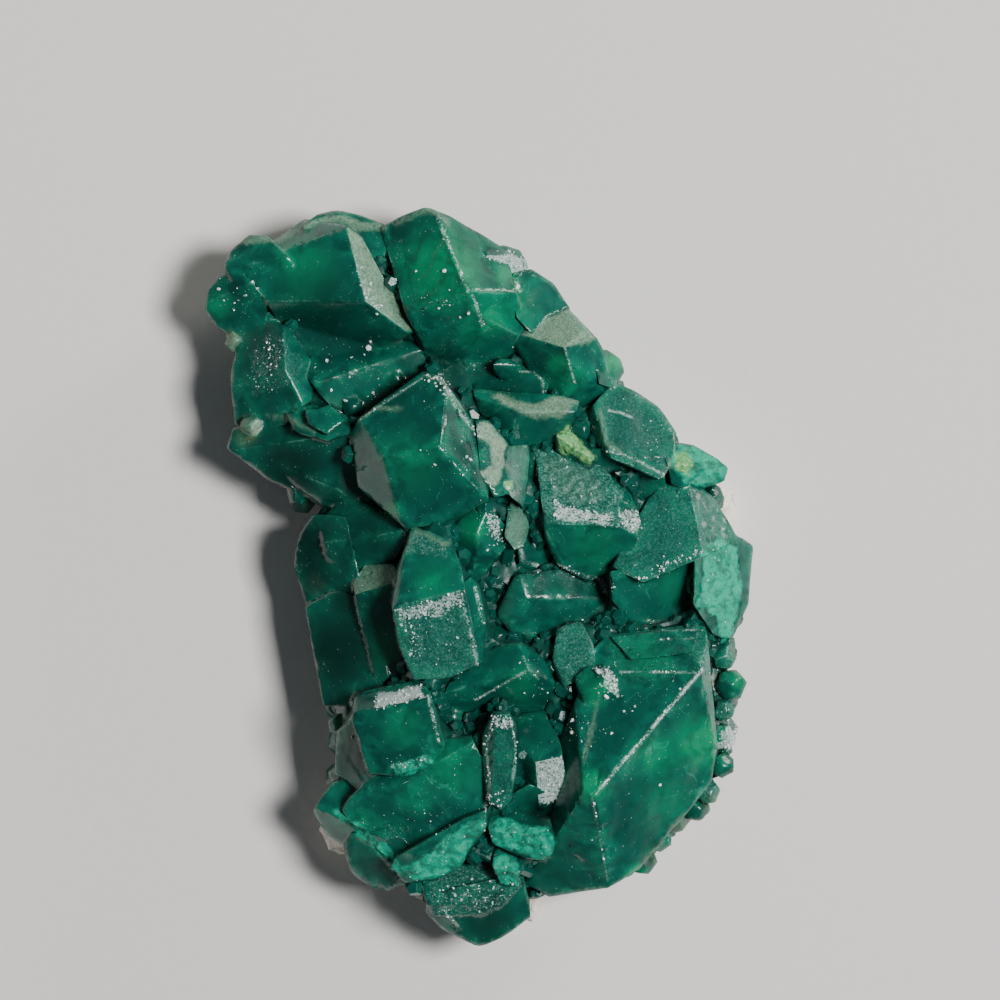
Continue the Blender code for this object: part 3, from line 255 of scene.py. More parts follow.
# Faces with growth steps: bearing across the steps, spacing, height and outline.
STRIAE = [
    (-77, 0.4, 0.06, GREAT_TOP),
    (-76, 0.5, 0.06, [(7.3, -5.9), (7.9, -5.9), (8.1, -10.0), (7.3, -10.0)]),
    (75, 0.4, 0.04, [(-2.0, -6.6), (-1.2, -7.0), (-1.3, -8.3), (-1.7, -9.3), (-2.3, -10.6), (-3.3, -10.6),
        (-2.8, -9.5), (-2.7, -7.7)]),
    (120, 0.9, 0.035, [(-8.2, -6.0), (-4.4, -9.0), (-3.6, -11.0), (-7.6, -12.2), (-9.6, -9.2)]),
    (60, 0.9, 0.04, [(-3.2, 14.8), (0.4, 14.9), (1.2, 10.4), (-2.0, 10.8)]),
    (110, 0.7, 0.05, [(-9.6, -0.5), (-6.6, -0.3), (-6.4, -4.4), (-9.6, -4.6)]),
]

# Faces with a pebbly surface: height and outline.
PEBBLY = [
    (0.13, [(2.5, 4.3), (3.6, 3.7), (4.7, 2.9), (5.2, 2.2), (5.9, 1.7), (6.2, 0.6), (4.9, 0.35), (2.6, 1.1)]),
    (0.05, WEST_TRIANGLE),
    (0.07, PRISM_FACE),
    (0.14, SOUTH_CRUST),
    (0.07, LITTLE_SQUARE),
    (0.06, [(7.6, 1.6), (8.6, 1.2), (10.0, 0.2), (10.0, -1.3), (8.4, -1.6), (7.8, -0.4)]),
]

# Brownish bits at the rim: centre, reach and strength.
BROWNS = [
    (-9.6, 11.9, 0.5, 0.9), (-9.8, 7.9, 0.7, 0.8), (6.5, -12.6, 0.5, 0.6), (4.9, -13.5, 0.6, 0.6),
    (3.5, -14.3, 0.6, 0.5), (7.7, -7.3, 0.4, 0.5), (-8.4, 0.7, 0.5, 0.4), (9.0, -8.6, 0.4, 0.5),
]

# Bright ridges, partly frost and partly painted highlight along the edges: half width, strength and line.
RIDGES = [
    (0.07, 1.0, [(0.5, 15.0), (0.7, 14.0), (0.85, 13.2), (1.0, 12.0), (1.25, 11.3), (1.4, 10.05)]),
    (0.10, 1.0, [(7.3, -6.7), (5.0, -8.35), (4.1, -9.1), (3.0, -9.8), (1.65, -10.85)]),
    (0.10, 0.9, [(-1.0, 8.3), (-0.7, 7.3), (-0.4, 6.5), (0.2, 5.3)]),
    (0.05, 0.5, [(-1.7, 8.4), (-4.75, 7.25)]),
    (0.09, 1.0, [(-1.5, -1.0), (-1.5, -2.6)]),
    (0.08, 0.9, [(-2.15, -1.0), (-2.15, -4.3)]),
    (0.08, 1.0, [(-4.55, -5.1), (-4.55, -7.2)]),
    (0.07, 0.8, [(-6.8, -7.8), (-5.1, -7.8)]),
    (0.07, 0.9, [(-2.0, -6.7), (-2.6, -7.9), (-2.8, -9.5), (-3.3, -10.5)]),
    (0.06, 0.8, [(-0.05, -5.0), (-2.6, -5.8)]),
    (0.06, 0.6, [(-0.15, -4.4), (-0.05, -5.0), (0.3, -5.5)]),
    (0.09, 1.0, [(2.65, 1.1), (3.8, 0.75), (4.9, 0.35)]),
    (0.07, 0.9, [(5.9, 5.2), (6.4, 5.0), (6.8, 4.7)]),
    (0.06, 0.8, [(5.45, 3.5), (6.2, 3.1), (7.0, 2.5), (7.6, 1.9)]),
    (0.05, 0.8, [(4.65, 8.3), (4.7, 7.4), (4.75, 6.7)]),
    (0.05, 0.7, [(2.5, 7.75), (3.1, 7.6), (3.4, 7.1), (3.3, 6.6)]),
    (0.04, 0.6, [(6.0, -4.65), (7.8, -5.05)]),
    (0.04, 0.5, [(5.7, -5.0), (7.3, -5.3)]),
    (0.05, 0.7, [(3.8, -6.0), (7.0, -6.75)]),
    (0.08, 0.9, [(-6.1, -14.4), (-5.6, -15.3)]),
    (0.04, 0.4, [(1.4, -11.0), (1.25, -14.8)]),
    (0.1, 1.0, [(0.84, 0.42), (0.79, -0.38), (1.75, -0.91), (2.21, -0.88), (3.18, -1.56), (3.91, -1.91),
        (3.98, -2.56)]),
    (0.06, 0.9, [(-1.25, -7.0), (-1.35, -8.3), (-1.8, -9.5)]),
]

# Where white grains sit in nests: how many, their radius and the outline of the zone.
GRAIN_ZONES = [
    (45, 0.045, [(-9.2, 9.3), (-8.9, 11.4), (-7.2, 12.0), (-6.3, 10.0), (-7.2, 9.2)]),
    (20, 0.05, [(-9.9, 13.2), (-9.4, 14.6), (-7.8, 14.6), (-8.0, 13.4)]),
    (25, 0.045, [(-2.7, 5.9), (-1.0, 6.0), (-0.1, 4.4), (-0.6, 3.6), (-1.8, 4.2)]),
    (35, 0.045, [(-6.3, 10.6), (-3.4, 10.6), (-3.4, 8.0), (-6.0, 7.8)]),
    (65, 0.045, PRISM_FACE),
    (50, 0.045, [(2.5, 4.3), (3.6, 3.7), (5.9, 1.7), (4.9, 0.35), (2.6, 1.1)]),
    (25, 0.05, [(2.3, 12.9), (3.3, 13.2), (3.9, 12.6), (3.5, 12.0), (2.6, 12.2)]),
    (30, 0.05, [(5.3, 0.8), (6.2, 0.7), (6.4, -0.4), (5.4, -0.3)]),
    (25, 0.045, [(-0.8, 2.2), (0.3, 1.9), (0.2, 0.4), (-0.6, 0.3)]),
    (30, 0.045, [(0.4, -0.7), (2.2, -0.7), (4.6, -2.3), (4.6, -2.9), (2.8, -2.0), (0.4, -1.2)]),
    (30, 0.06, [(2.6, -5.5), (3.7, -5.5), (3.7, -7.1), (2.7, -7.0)]),
    (35, 0.05, [(7.4, -9.3), (8.6, -9.5), (8.6, -10.6), (7.4, -10.6)]),
    (30, 0.045, [(7.2, -5.8), (8.2, -5.8), (8.2, -9.4), (7.3, -9.4)]),
    (40, 0.045, [(-6.3, -13.3), (-3.0, -13.2), (-2.6, -14.6), (-6.2, -14.8)]),
    (20, 0.045, [(-6.9, -7.4), (-4.8, -7.4), (-4.8, -8.1), (-6.9, -8.1)]),
    (25, 0.04, [(5.4, 5.5), (8.3, 4.6), (8.4, 3.2), (5.6, 3.6)]),
    (30, 0.04, [(4.9, -1.4), (9.6, -1.2), (9.6, -2.0), (5.4, -2.4)]),
    (30, 0.045, [(-0.6, -5.2), (1.2, -4.4), (1.4, -6.6), (-0.4, -6.8)]),
    (20, 0.045, [(0.9, -7.2), (1.6, -7.2), (1.6, -8.6), (0.9, -8.6)]),
    (25, 0.045, [(-1.0, 12.9), (1.6, 12.4), (2.0, 11.0), (-1.2, 10.9)]),
    (65, 0.03, [(-7.8, -9.0), (-4.2, -8.4), (-3.4, -10.6), (-7.0, -12.2), (-8.8, -10.4)]),
    (40, 0.035, [(-4.4, -11.0), (-3.2, -10.9), (-3.4, -11.8), (-6.8, -13.0), (-7.4, -12.3)]),
    (30, 0.035, [(8.4, -1.4), (9.8, -1.4), (9.8, -4.6), (8.6, -5.6), (7.9, -3.8)]),
    (30, 0.035, [(-2.8, -11.2), (-0.7, -11.9), (-0.9, -13.2), (-2.6, -12.6)]),
    (25, 0.03, [(1.6, -8.0), (4.0, -7.2), (6.6, -7.0), (3.8, -9.0), (2.0, -10.0)]),
    (110, 0.03, [(-9.4, 14.8), (0.0, 15.4), (5.6, 9.2), (9.0, 2.6), (9.6, -4.6), (7.4, -11.4),
        (-4.0, -15.8), (-9.4, -10.0), (-8.6, 1.0), (-9.6, 8.0)]),
]

# Single white grains: place and radius.
GRAINS = [
    (-3.7, 10.25, 0.17), (-3.55, 10.5, 0.08), (-5.6, 10.1, 0.09), (-5.2, 8.2, 0.08), (-3.95, 8.3, 0.08),
    (-4.8, 9.2, 0.07), (-5.7, 8.8, 0.07), (-9.5, 14.25, 0.07), (-8.0, 14.2, 0.07), (-8.4, 13.7, 0.07),
    (-0.9, 13.0, 0.06), (0.3, 12.7, 0.09), (-0.3, 11.2, 0.06), (0.9, 10.7, 0.09), (0.5, 10.6, 0.07),
    (3.25, 11.35, 0.11), (1.35, -7.6, 0.1), (1.2, -8.1, 0.1), (2.85, -8.5, 0.09), (3.6, -7.7, 0.08),
    (4.1, -7.6, 0.07), (4.4, -11.2, 0.08), (2.9, -5.8, 0.16), (3.4, -6.5, 0.13), (3.0, -6.9, 0.1),
    (-8.2, -6.2, 0.08), (0.8, 2.9, 0.1), (-2.0, 4.6, 0.07), (-0.6, 4.6, 0.1), (-0.45, 4.45, 0.08),
]


def amount(values, low, high):
    """Nought below the low value, one above the high one, smooth between them."""
    share = np.clip((values - low) / (high - low), 0.0, 1.0)
    return share * share * (3.0 - 2.0 * share)


def inside_by(points, outline):
    """How far each point lies inside a closed outline; negative outside it, and -1 anywhere far off."""
    corners = np.array(outline, float)
    around = ((points > corners.min(axis=0) - 1) & (points < corners.max(axis=0) + 1)).all(axis=1)
    if len(points) > 1 and not around.all():
        depth = np.full(len(points), -1.0)
        if around.any():
            depth[around] = inside_by(points[around], outline)
        return depth
    nearest = np.full(len(points), 1e9)
    inside = np.zeros(len(points), bool)
    for start, end in zip(corners, np.roll(corners, -1, axis=0)):
        along = end - start
        share = np.clip((points - start) @ along / (along @ along), 0.0, 1.0)
        away = points - start - share[:, None] * along
        nearest = np.minimum(nearest, np.hypot(away[:, 0], away[:, 1]))
        spans = (start[1] > points[:, 1]) != (end[1] > points[:, 1])
        if along[1]:
            crossing = start[0] + (points[:, 1] - start[1]) * along[0] / along[1]
            inside ^= spans & (points[:, 0] < crossing)
    return np.where(inside, nearest, -nearest)


def away_from(points, line):
    """How far each point is from an open line."""
    nearest = np.full(len(points), 1e9)
    for start, end in zip(np.array(line[:-1], float), np.array(line[1:], float)):
        along = end - start
        share = np.clip((points - start) @ along / (along @ along), 0.0, 1.0)
        away = points - start - share[:, None] * along
        nearest = np.minimum(nearest, np.hypot(away[:, 0], away[:, 1]))
    return nearest


def solid_of(node):
    """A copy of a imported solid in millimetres, with its loose triangles merged and its flat faces whole."""
    mesh = bmesh.new()
    mesh.from_mesh(bpy.data.objects[node].data)
    bmesh.ops.scale(mesh, vec=(1 / MM, 1 / MM, 1 / MM), verts=mesh.verts)
    bmesh.ops.remove_doubles(mesh, verts=mesh.verts, dist=1e-4)
    bmesh.ops.dissolve_limit(mesh, angle_limit=math.radians(0.3), verts=mesh.verts, edges=mesh.edges)
    return mesh


def refine(mesh, wanted):
    """Halves edges until each is about as short as wanted at its middle."""
    bmesh.ops.triangulate(mesh, faces=mesh.faces)
    for edge in mesh.edges:
        edge.tag = False
    for _ in range(MOST_HALVINGS):
        long = []
        for edge in mesh.edges:
            if edge.tag:
                continue
            if edge.calc_length() > wanted(edge):
                long.append(edge)
            else:
                edge.tag = True
        if not long:
            break
        bmesh.ops.subdivide_edges(mesh, edges=long, cuts=1)
        bmesh.ops.triangulate(mesh, faces=[face for face in mesh.faces if len(face.verts) > 3])


def finished(name, mesh, finish, body="root"):
    """Turns a bmesh laid out in millimetres into a piece of the specimen."""
    bmesh.ops.scale(mesh, vec=(MM, MM, MM), verts=mesh.verts)
    data = bpy.data.meshes.new(name)
    mesh.to_mesh(data)
    mesh.free()
    data.materials.append(finish)
    piece = bpy.data.objects.new(name, data)
    bpy.context.scene.collection.objects.link(piece)
    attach(piece, body)
    return piece


class Field:
    """Numbers on an even grid over the specimen, seen from above."""

    STEP = 0.15
    LEFT, FRONT = -11.4, -17.1
    COLUMNS, ROWS = 153, 229

    def __init__(self, values):
        self.values = values

    @classmethod
    def places(cls):
        """The grid's points, one row of the array each."""
        xs = cls.LEFT + cls.STEP * np.arange(cls.COLUMNS)
        ys = cls.FRONT + cls.STEP * np.arange(cls.ROWS)
        return np.stack(np.meshgrid(xs, ys), axis=-1).reshape(-1, 2)

    @classmethod
    def of(cls, values):
        return cls(np.asarray(values, float).reshape(cls.ROWS, cls.COLUMNS))

    def at(self, points):
        """The value at each point, blended between the four nearest grid points."""
        across = np.clip((points[:, 0] - self.LEFT) / self.STEP, 0, self.COLUMNS - 1.001)
        along = np.clip((points[:, 1] - self.FRONT) / self.STEP, 0, self.ROWS - 1.001)
        column, row = across.astype(int), along.astype(int)
        u, v = across - column, along - row
        grid = self.values
        near = grid[row, column] * (1 - u) + grid[row, column + 1] * u
        far = grid[row + 1, column] * (1 - u) + grid[row + 1, column + 1] * u
        return near * (1 - v) + far * v

    def spread(self, reach, pick):
        """The highest (or lowest) value within reach of each grid point."""
        cells = int(reach / self.STEP)
        result = self.values.copy()
        for down in range(-cells, cells + 1):
            for side in range(-cells, cells + 1):
                if side * side + down * down <= (reach / self.STEP) ** 2:
                    result = pick(result, np.roll(self.values, (down, side), axis=(0, 1)))
        return Field(result)


def heights_of(mesh):
    """How high the crystals stand at each grid point."""
    tree = BVHTree.FromBMesh(mesh)
    heights = []
    for x, y in Field.places():
        spot = tree.ray_cast(Vector((x, y, SKY)), DOWN)[0]
        heights.append(spot.z if spot else 0.0)
    return Field.of(heights)


def openness(points, heights):
    """How much of the sky each point sees, from nought in a deep hole to one."""
    blocked = np.zeros(len(points))
    for turn in np.arange(8) * math.pi / 4:
        steepest = np.zeros(len(points))
        for reach in (0.3, 0.6, 1.0, 1.6, 2.4):
            aside = points[:, :2] + reach * np.array([math.cos(turn), math.sin(turn)])
            steepest = np.maximum(steepest, (heights.at(aside) - points[:, 2]) / reach)
        blocked += np.arctan(np.clip(steepest, 0, None)) / (math.pi / 2)
    return 1 - blocked / 8


def crystal_mesh():
    """The cluster, refined where it is seen, with worn edges, growth relief and grainy crusts."""
    mesh = solid_of("dioptase_crystals")
    facet = mesh.faces.layers.int.new("facet")
    for number, face in enumerate(mesh.faces):
        face[facet] = number

    grid = Field.places()
    rough = CRUSTS + PALE_CRUSTS + [outline for _, outline in SUGAR_FROST_AND_REFLECTION.values()]
    rough += [outline for _, _, _, outline in STRIAE] + [outline for _, outline in PEBBLY]
    crusts = Field.of(sum(inside_by(grid, outline) > -0.3 for outline in rough))
    ridges = Field.of(sum(away_from(grid, line) < 0.25 for _, _, line in RIDGES))

    def wanted(edge):
        middle = (edge.verts[0].co + edge.verts[1].co) / 2
        lift = max((face.normal.z for face in edge.link_faces), default=0.0)
        if middle.z < BACK_HEIGHT or lift < -0.5:
            return BACK_EDGE
        if middle.z < SIDE_HEIGHT or lift < 0.05:
            return SIDE_EDGE
        column = round((middle.x - Field.LEFT) / Field.STEP)
        row = round((middle.y - Field.FRONT) / Field.STEP)
        if ridges.values[row, column]:
            return RIDGE_EDGE
        return CRUST_EDGE if crusts.values[row, column] else SEEN_EDGE

    refine(mesh, wanted)
    mesh.normal_update()
    edge_mark = mesh.verts.layers.float.new("edge")
    worn = {
        vert
        for edge in mesh.edges
        if len(edge.link_faces) == 2 and edge.calc_face_angle_signed(0.0) > WORN_ANGLE
        for vert in edge.verts
    }
    for vert in worn:
        vert[edge_mark] = 1.0
    bmesh.ops.smooth_vert(mesh, verts=list(worn), factor=WEAR,
                          use_axis_x=True, use_axis_y=True, use_axis_z=True)
    mesh.normal_update()
    grow_relief(mesh, edge_mark)
    return mesh, heights_of(mesh)


def strongest(flat, entries, low, high):
    """The strongest share that each place has of some outlines, each with its strength."""
    best = np.zeros(len(flat))
    for strength, outline in entries:
        best = np.maximum(best, strength * amount(inside_by(flat, outline), low, high))
    return best


def growth_steps(flat):
    """How far the growth steps sink each place: long slopes with short rises, slightly wavy."""
    steps = np.zeros(len(flat))
    for bearing, spacing, height, outline in STRIAE:
        turn = math.radians(bearing)
        across = flat[:, 0] * math.cos(turn) - flat[:, 1] * math.sin(turn)
        along = flat[:, 0] * math.sin(turn) + flat[:, 1] * math.cos(turn)
        phase = across / spacing + 0.35 * np.sin(along * 1.1 + across * 0.7) + 0.2 * np.sin(along * 2.9)
        saw = np.minimum(phase % 1.0, 4.0 * (1 - phase % 1.0))
        steps -= height * saw * amount(inside_by(flat, outline), -0.05, 0.2)
    return steps


def grow_relief(mesh, edge_mark):
    """Moves the surface along its normals: gentle waves, growth steps, chipped edges and grainy crusts."""
    verts = list(mesh.verts)
    flat = np.array([(vert.co.x, vert.co.y) for vert in verts])
    lift = amount(np.array([vert.normal.z for vert in verts]), 0.0, 0.4)
    crust = sum(amount(inside_by(flat, outline), -0.12, 0.15) for outline in CRUSTS + PALE_CRUSTS)
    crust = np.clip(crust, 0, 1) * lift
    bloom_and_reflection = np.maximum(0.5 * strongest(flat, GREY_BLOOM_AND_REFLECTION.values(), -0.1, 0.15),
                       1.2 * strongest(flat, SUGAR_FROST_AND_REFLECTION.values(), -0.1, 0.15)) * lift
    steps = growth_steps(flat) * lift
    pebbles = strongest(flat, PEBBLY, -0.1, 0.2) * lift
    moves = []
    for vert, rough, frost_and_reflection, step, pebble in zip(verts, crust, bloom_and_reflection, steps, pebbles):
        place = vert.co
        move = WAVE_HEIGHT * noise.fractal(place * 0.6, 1.0, 2.0, 3) + step
        if pebble:
            move += pebble * (0.5 - 1.3 * noise.voronoi(place * 2.4)[0][0])
        if vert[edge_mark] and place.z > 2.5:
            move -= CHIP_DEPTH * max(0.0, noise.noise(place * 1.5) - 0.05)
            move -= CHIP_RIPPLE * abs(noise.noise(place * 4.0))
        if frost_and_reflection > 0.02:
            move += FROST_RIPPLE * frost_and_reflection * noise.noise(place * 5.5)
        if rough > 0.02:
            lumps = sum(height * noise.noise(place * often) for height, often in CRUST_LUMPS)
            move += rough * (CRUST_THICKNESS + lumps)
        moves.append(vert.normal * move)
    for vert, move in zip(verts, moves):
        vert.co += move


def read(items, name, width=1, kind=float):
    """One number for each item of a mesh's list, or a row of a few."""
    values = np.empty(len(items) * width, kind)
    items.foreach_get(name, values)
    return values.reshape(-1, width) if width > 1 else values


def corner_places(piece):
    """The piece's points in millimetres, and which of them each face corner is."""
    return read(piece.data.vertices, "co", 3) / MM, read(piece.data.loops, "vertex_index", kind=int)


def paint(piece, name, values):
    """Keeps one number for each face corner of a piece, for its material to read."""
    piece.data.attributes.new(name, "FLOAT", "CORNER").data.foreach_set("value", values.astype(np.float32))


class Marker:
    """Works out how much of a finish each face corner of the crystals has, as seen from above."""

    def __init__(self, piece):
        self.points, self.corners = corner_places(piece)
        self.flat = self.points[:, :2]
        self.normals = read(piece.data.polygons, "normal", 3)
        self.facets = read(piece.data.attributes["facet"].data, "value", kind=int)
        self.corner_face = np.repeat(np.arange(len(self.facets)), 3)
        triangles = self.corners.reshape(-1, 3)
        self.centres = self.points[triangles].mean(axis=1)
        self.tree = BVHTree.FromPolygons(self.points.tolist(), triangles.tolist())
        seen = self.seen_from_above()
        self.crown = (amount(self.normals[:, 2], 0.1, 0.35) * seen)[self.corner_face]
        self.weight = read(piece.data.polygons, "area") * seen
        self.facet_area = np.bincount(self.facets, self.weight) + 1e-9
        self.ragged = np.array([
            0.16 * noise.noise(Vector(point) * 1.6) + 0.09 * noise.noise(Vector(point) * 4.0)
            for point in self.points
        ])

    def seen_from_above(self):
        """One for each face that nothing covers, and nought for the others."""
        seen = np.zeros(len(self.facets))
        for number in np.nonzero(self.normals[:, 2] > 0.1)[0]:
            start = Vector(self.centres[number]) + Vector(self.normals[number]) * 0.03
            seen[number] = self.tree.ray_cast(start, -DOWN)[0] is None
        return seen

    def laid(self, outline, soft, whole=True):
        """The share of one outline, with a ragged border.

        Where it is laid whole, a facet that is mostly inside takes it all, and one mostly outside none.
        """
        depth = (inside_by(self.flat, outline) + self.ragged)[self.corners]
        here = amount(depth, -soft, soft)
        if whole:
            inside = self.weight * (inside_by(self.centres[:, :2], outline) > 0)
            share = (np.bincount(self.facets, inside) / self.facet_area)[self.facets][self.corner_face]
            here = np.where(share > 0.55, amount(depth, -0.6, -0.3), here)
            here = np.where(share < 0.12, 0.0, here)
        return here * self.crown

    def patches(self, entries, soft=0.06):
        """The strongest of a table of outlines, each with its strength."""
        best = np.zeros(len(self.corners))
        for strength, outline in entries.values():
            best = np.maximum(best, strength * self.laid(outline, soft))
        return best

    def crusts(self, outlines):
        """The share of crusts, which keep to their outlines and not to the facets."""
        return np.clip(sum(self.laid(outline, 0.12, whole=False) for outline in outlines), 0, 1)

    def lines(self, entries, inner, outer, wander=0.0):
        """The strongest of a table of lines. Each fades between two shares of its half width."""
        best = np.zeros(len(self.flat))
        for width, strength, line in entries:
            away = away_from(self.flat, line) + self.ragged * wander
            best = np.maximum(best, strength * (1 - amount(away, width * inner, width * outer)))
        return best[self.corners] * self.crown

    def spots(self, entries):
        """The strongest of a table of soft round spots."""
        best = np.zeros(len(self.flat))
        for x, y, reach, strength in entries:
            away = np.hypot(self.flat[:, 0] - x, self.flat[:, 1] - y)
            best = np.maximum(best, strength * (1 - amount(away, reach * 0.15, reach * 1.3)))
        return best[self.corners]

    def near_edges(self, marks):
        """How near each corner is to a worn edge."""
        worn = np.nonzero(marks)[0]
        nearest = KDTree(len(worn))
        for index in worn:
            nearest.insert(self.points[index], index)
        nearest.balance()
        away = np.array([nearest.find(point)[2] for point in self.points])
        return (1 - amount(away, 0.05, 0.8))[self.corners]


def mark_finishes(piece, heights):
    """Keeps how much of each finish, painted reflection, painted glow and painted shade the crystals' face
    corners have.
    """
    marker = Marker(piece)
    # The tan film with its painted reflection, and the tan edges.
    film_and_reflection = np.maximum(marker.patches(TAN_FILM_AND_REFLECTION), marker.lines(TAN_LINES, 0.4, 1.3, wander=0.6))
    paint(piece, "tan_film_and_reflection", film_and_reflection)
    # Grey bloom, partly painted reflection of the light.
    paint(piece, "grey_bloom_and_reflection", marker.patches(GREY_BLOOM_AND_REFLECTION))
    # White frost, partly painted reflection of the light.
    paint(piece, "frost_and_reflection", marker.patches(SUGAR_FROST_AND_REFLECTION, 0.2))
    paint(piece, "crust", marker.crusts(CRUSTS))
    paint(piece, "pale_crust", marker.crusts(PALE_CRUSTS))
    paint(piece, "ridge", marker.lines(RIDGES, 0.3, 1.2))
    paint(piece, "glow", marker.spots(GLOWS))
    # Painted shade, partly the crystals' own darker colour.
    paint(piece, "dark", marker.spots(DARK_AND_SHADE_SPOTS))
    high = amount(marker.points[:, 2], BACK_HEIGHT, FILL_FLOOR)[marker.corners]
    paint(piece, "brown", marker.spots(BROWNS) * high)
    paint(piece, "side", (1 - amount(marker.normals[:, 2], 0.1, 0.5))[marker.corner_face])
    # The openness drives the painted shade in hollows.
    paint(piece, "open", openness(marker.points, heights)[marker.corners])
    paint(piece, "rim", marker.near_edges(read(piece.data.attributes["edge"].data, "value")))
    chance = random.Random(4)
    tones = np.array([chance.random() for _ in range(marker.facets.max() + 1)])
    paint(piece, "tone", tones[marker.facets][marker.corner_face])
    return marker.tree


class Value:
    """A number that changes over the surface. Arithmetic on it adds Math nodes."""

    def __init__(self, tree, socket):
        self.tree = tree
        self.socket = socket

    def maths(self, operation, *terms, clamp=False):
        """A Math node with values or numbers as its terms."""
        node = self.tree.nodes.new("ShaderNodeMath")
        node.operation = operation
        node.use_clamp = clamp
        for place, term in zip(node.inputs, terms):
            if isinstance(term, Value):
                self.tree.links.new(term.socket, place)
            else:
                place.default_value = term
        return Value(self.tree, node.outputs[0])

    def __add__(self, other):
        return self.maths("ADD", self, other)

    def __sub__(self, other):
        return self.maths("SUBTRACT", self, other)

    def __mul__(self, other):
        return self.maths("MULTIPLY", self, other)

    def __gt__(self, other):
        return self.maths("GREATER_THAN", self, other)

    def __radd__(self, other):
        return self.maths("ADD", other, self)

    def __rsub__(self, other):
        return self.maths("SUBTRACT", other, self)

    def __rmul__(self, other):
        return self.maths("MULTIPLY", other, self)

    def held(self):
        """The value kept between nought and one."""
        return self.maths("ADD", self, 0.0, clamp=True)

    def most(self, other):
        return self.maths("MAXIMUM", self, other)

    def between(self, low, high):
        """Nought below low, one above high, smooth between."""
        node = self.tree.nodes.new("ShaderNodeMapRange")
        node.interpolation_type = "SMOOTHSTEP"
        self.tree.links.new(self.socket, node.inputs["Value"])
        node.inputs["From Min"].default_value = low
        node.inputs["From Max"].default_value = high
        return Value(self.tree, node.outputs["Result"])


class Finish:
    """A material that is built up from nodes."""

    def __init__(self, name):
        self.material = bpy.data.materials.new(name)
        self.material.use_nodes = True
        self.tree = self.material.node_tree
        self.shader = self.tree.nodes["Principled BSDF"]
        spot = self.node("ShaderNodeTexCoord", {}, {}, "Object")
        scale = {"Vector": spot, "Scale": 1 / MM}
        self.place = self.node("ShaderNodeVectorMath", {"operation": "SCALE"}, scale)

    def node(self, kind, settings, sockets, output=None):
        """Adds a node: its settings first, then the values or links of its sockets."""
        node = self.tree.nodes.new(kind)
        for name, value in settings.items():
            setattr(node, name, value)
        inputs = self.named(node.inputs)
        for name, value in sockets.items():
            self.feed(inputs[name], value)
        return Value(self.tree, self.named(node.outputs)[output] if output else node.outputs[0])

    @staticmethod
    def named(sockets):
        """A node's sockets by identifier, and those in use by name too."""
        by_name = {socket.identifier: socket for socket in sockets}
        by_name.update({socket.name: socket for socket in reversed(sockets) if socket.enabled})
        return by_name

    def feed(self, socket, value):
        """Gives a socket a link, a colour or a number."""
        if isinstance(value, Value):
            self.tree.links.new(value.socket, socket)
        elif isinstance(value, tuple) and len(value) == 3 and socket.type == "RGBA":
            socket.default_value = (*value, 1.0)
        else:
            socket.default_value = value

    def mark(self, name):
        """The number that a piece keeps at its face corners under this name."""
        return self.node("ShaderNodeAttribute", {"attribute_name": name}, {}, "Fac")

    def cloud(self, scale, detail=2.0, roughness=0.5, distortion=0.0):
        sockets = {"Vector": self.place, "Scale": scale, "Detail": detail,
                   "Roughness": roughness, "Distortion": distortion}
        return self.node("ShaderNodeTexNoise", {}, sockets, "Fac")

    def cells(self, scale):
        """Round cells: how far each point is from its cell's middle, and a colour drawn for each cell."""
        away = self.node("ShaderNodeTexVoronoi", {}, {"Vector": self.place, "Scale": scale}, "Distance")
        return away, Value(self.tree, away.socket.node.outputs["Color"])

    def blend(self, first, second, share):
        sockets = {"Factor_Float": share, "A_Color": first, "B_Color": second}
        return self.node("ShaderNodeMix", {"data_type": "RGBA"}, sockets, "Result_Color")

    def part(self, colour, channel):
        return self.node("ShaderNodeSeparateColor", {}, {"Color": colour}, channel)

    def bump(self, height, strength, distance):
        sockets = {"Height": height, "Strength": strength, "Distance": distance}
        return self.node("ShaderNodeBump", {}, sockets, "Normal")

    def set(self, **sockets):
        """Feeds the shader's own sockets and gives the material back."""
        for name, value in sockets.items():
            self.feed(self.shader.inputs[name.replace("_", " ")], value)
        return self.material


def tint(red, green, blue):
    """A colour given as it looks on a screen, from 0 to 255, as the light it stands for."""
    return tuple(((part / 255 + 0.055) / 1.055) ** 2.4 if part > 10 else part / 255 / 12.92
                 for part in (red, green, blue))


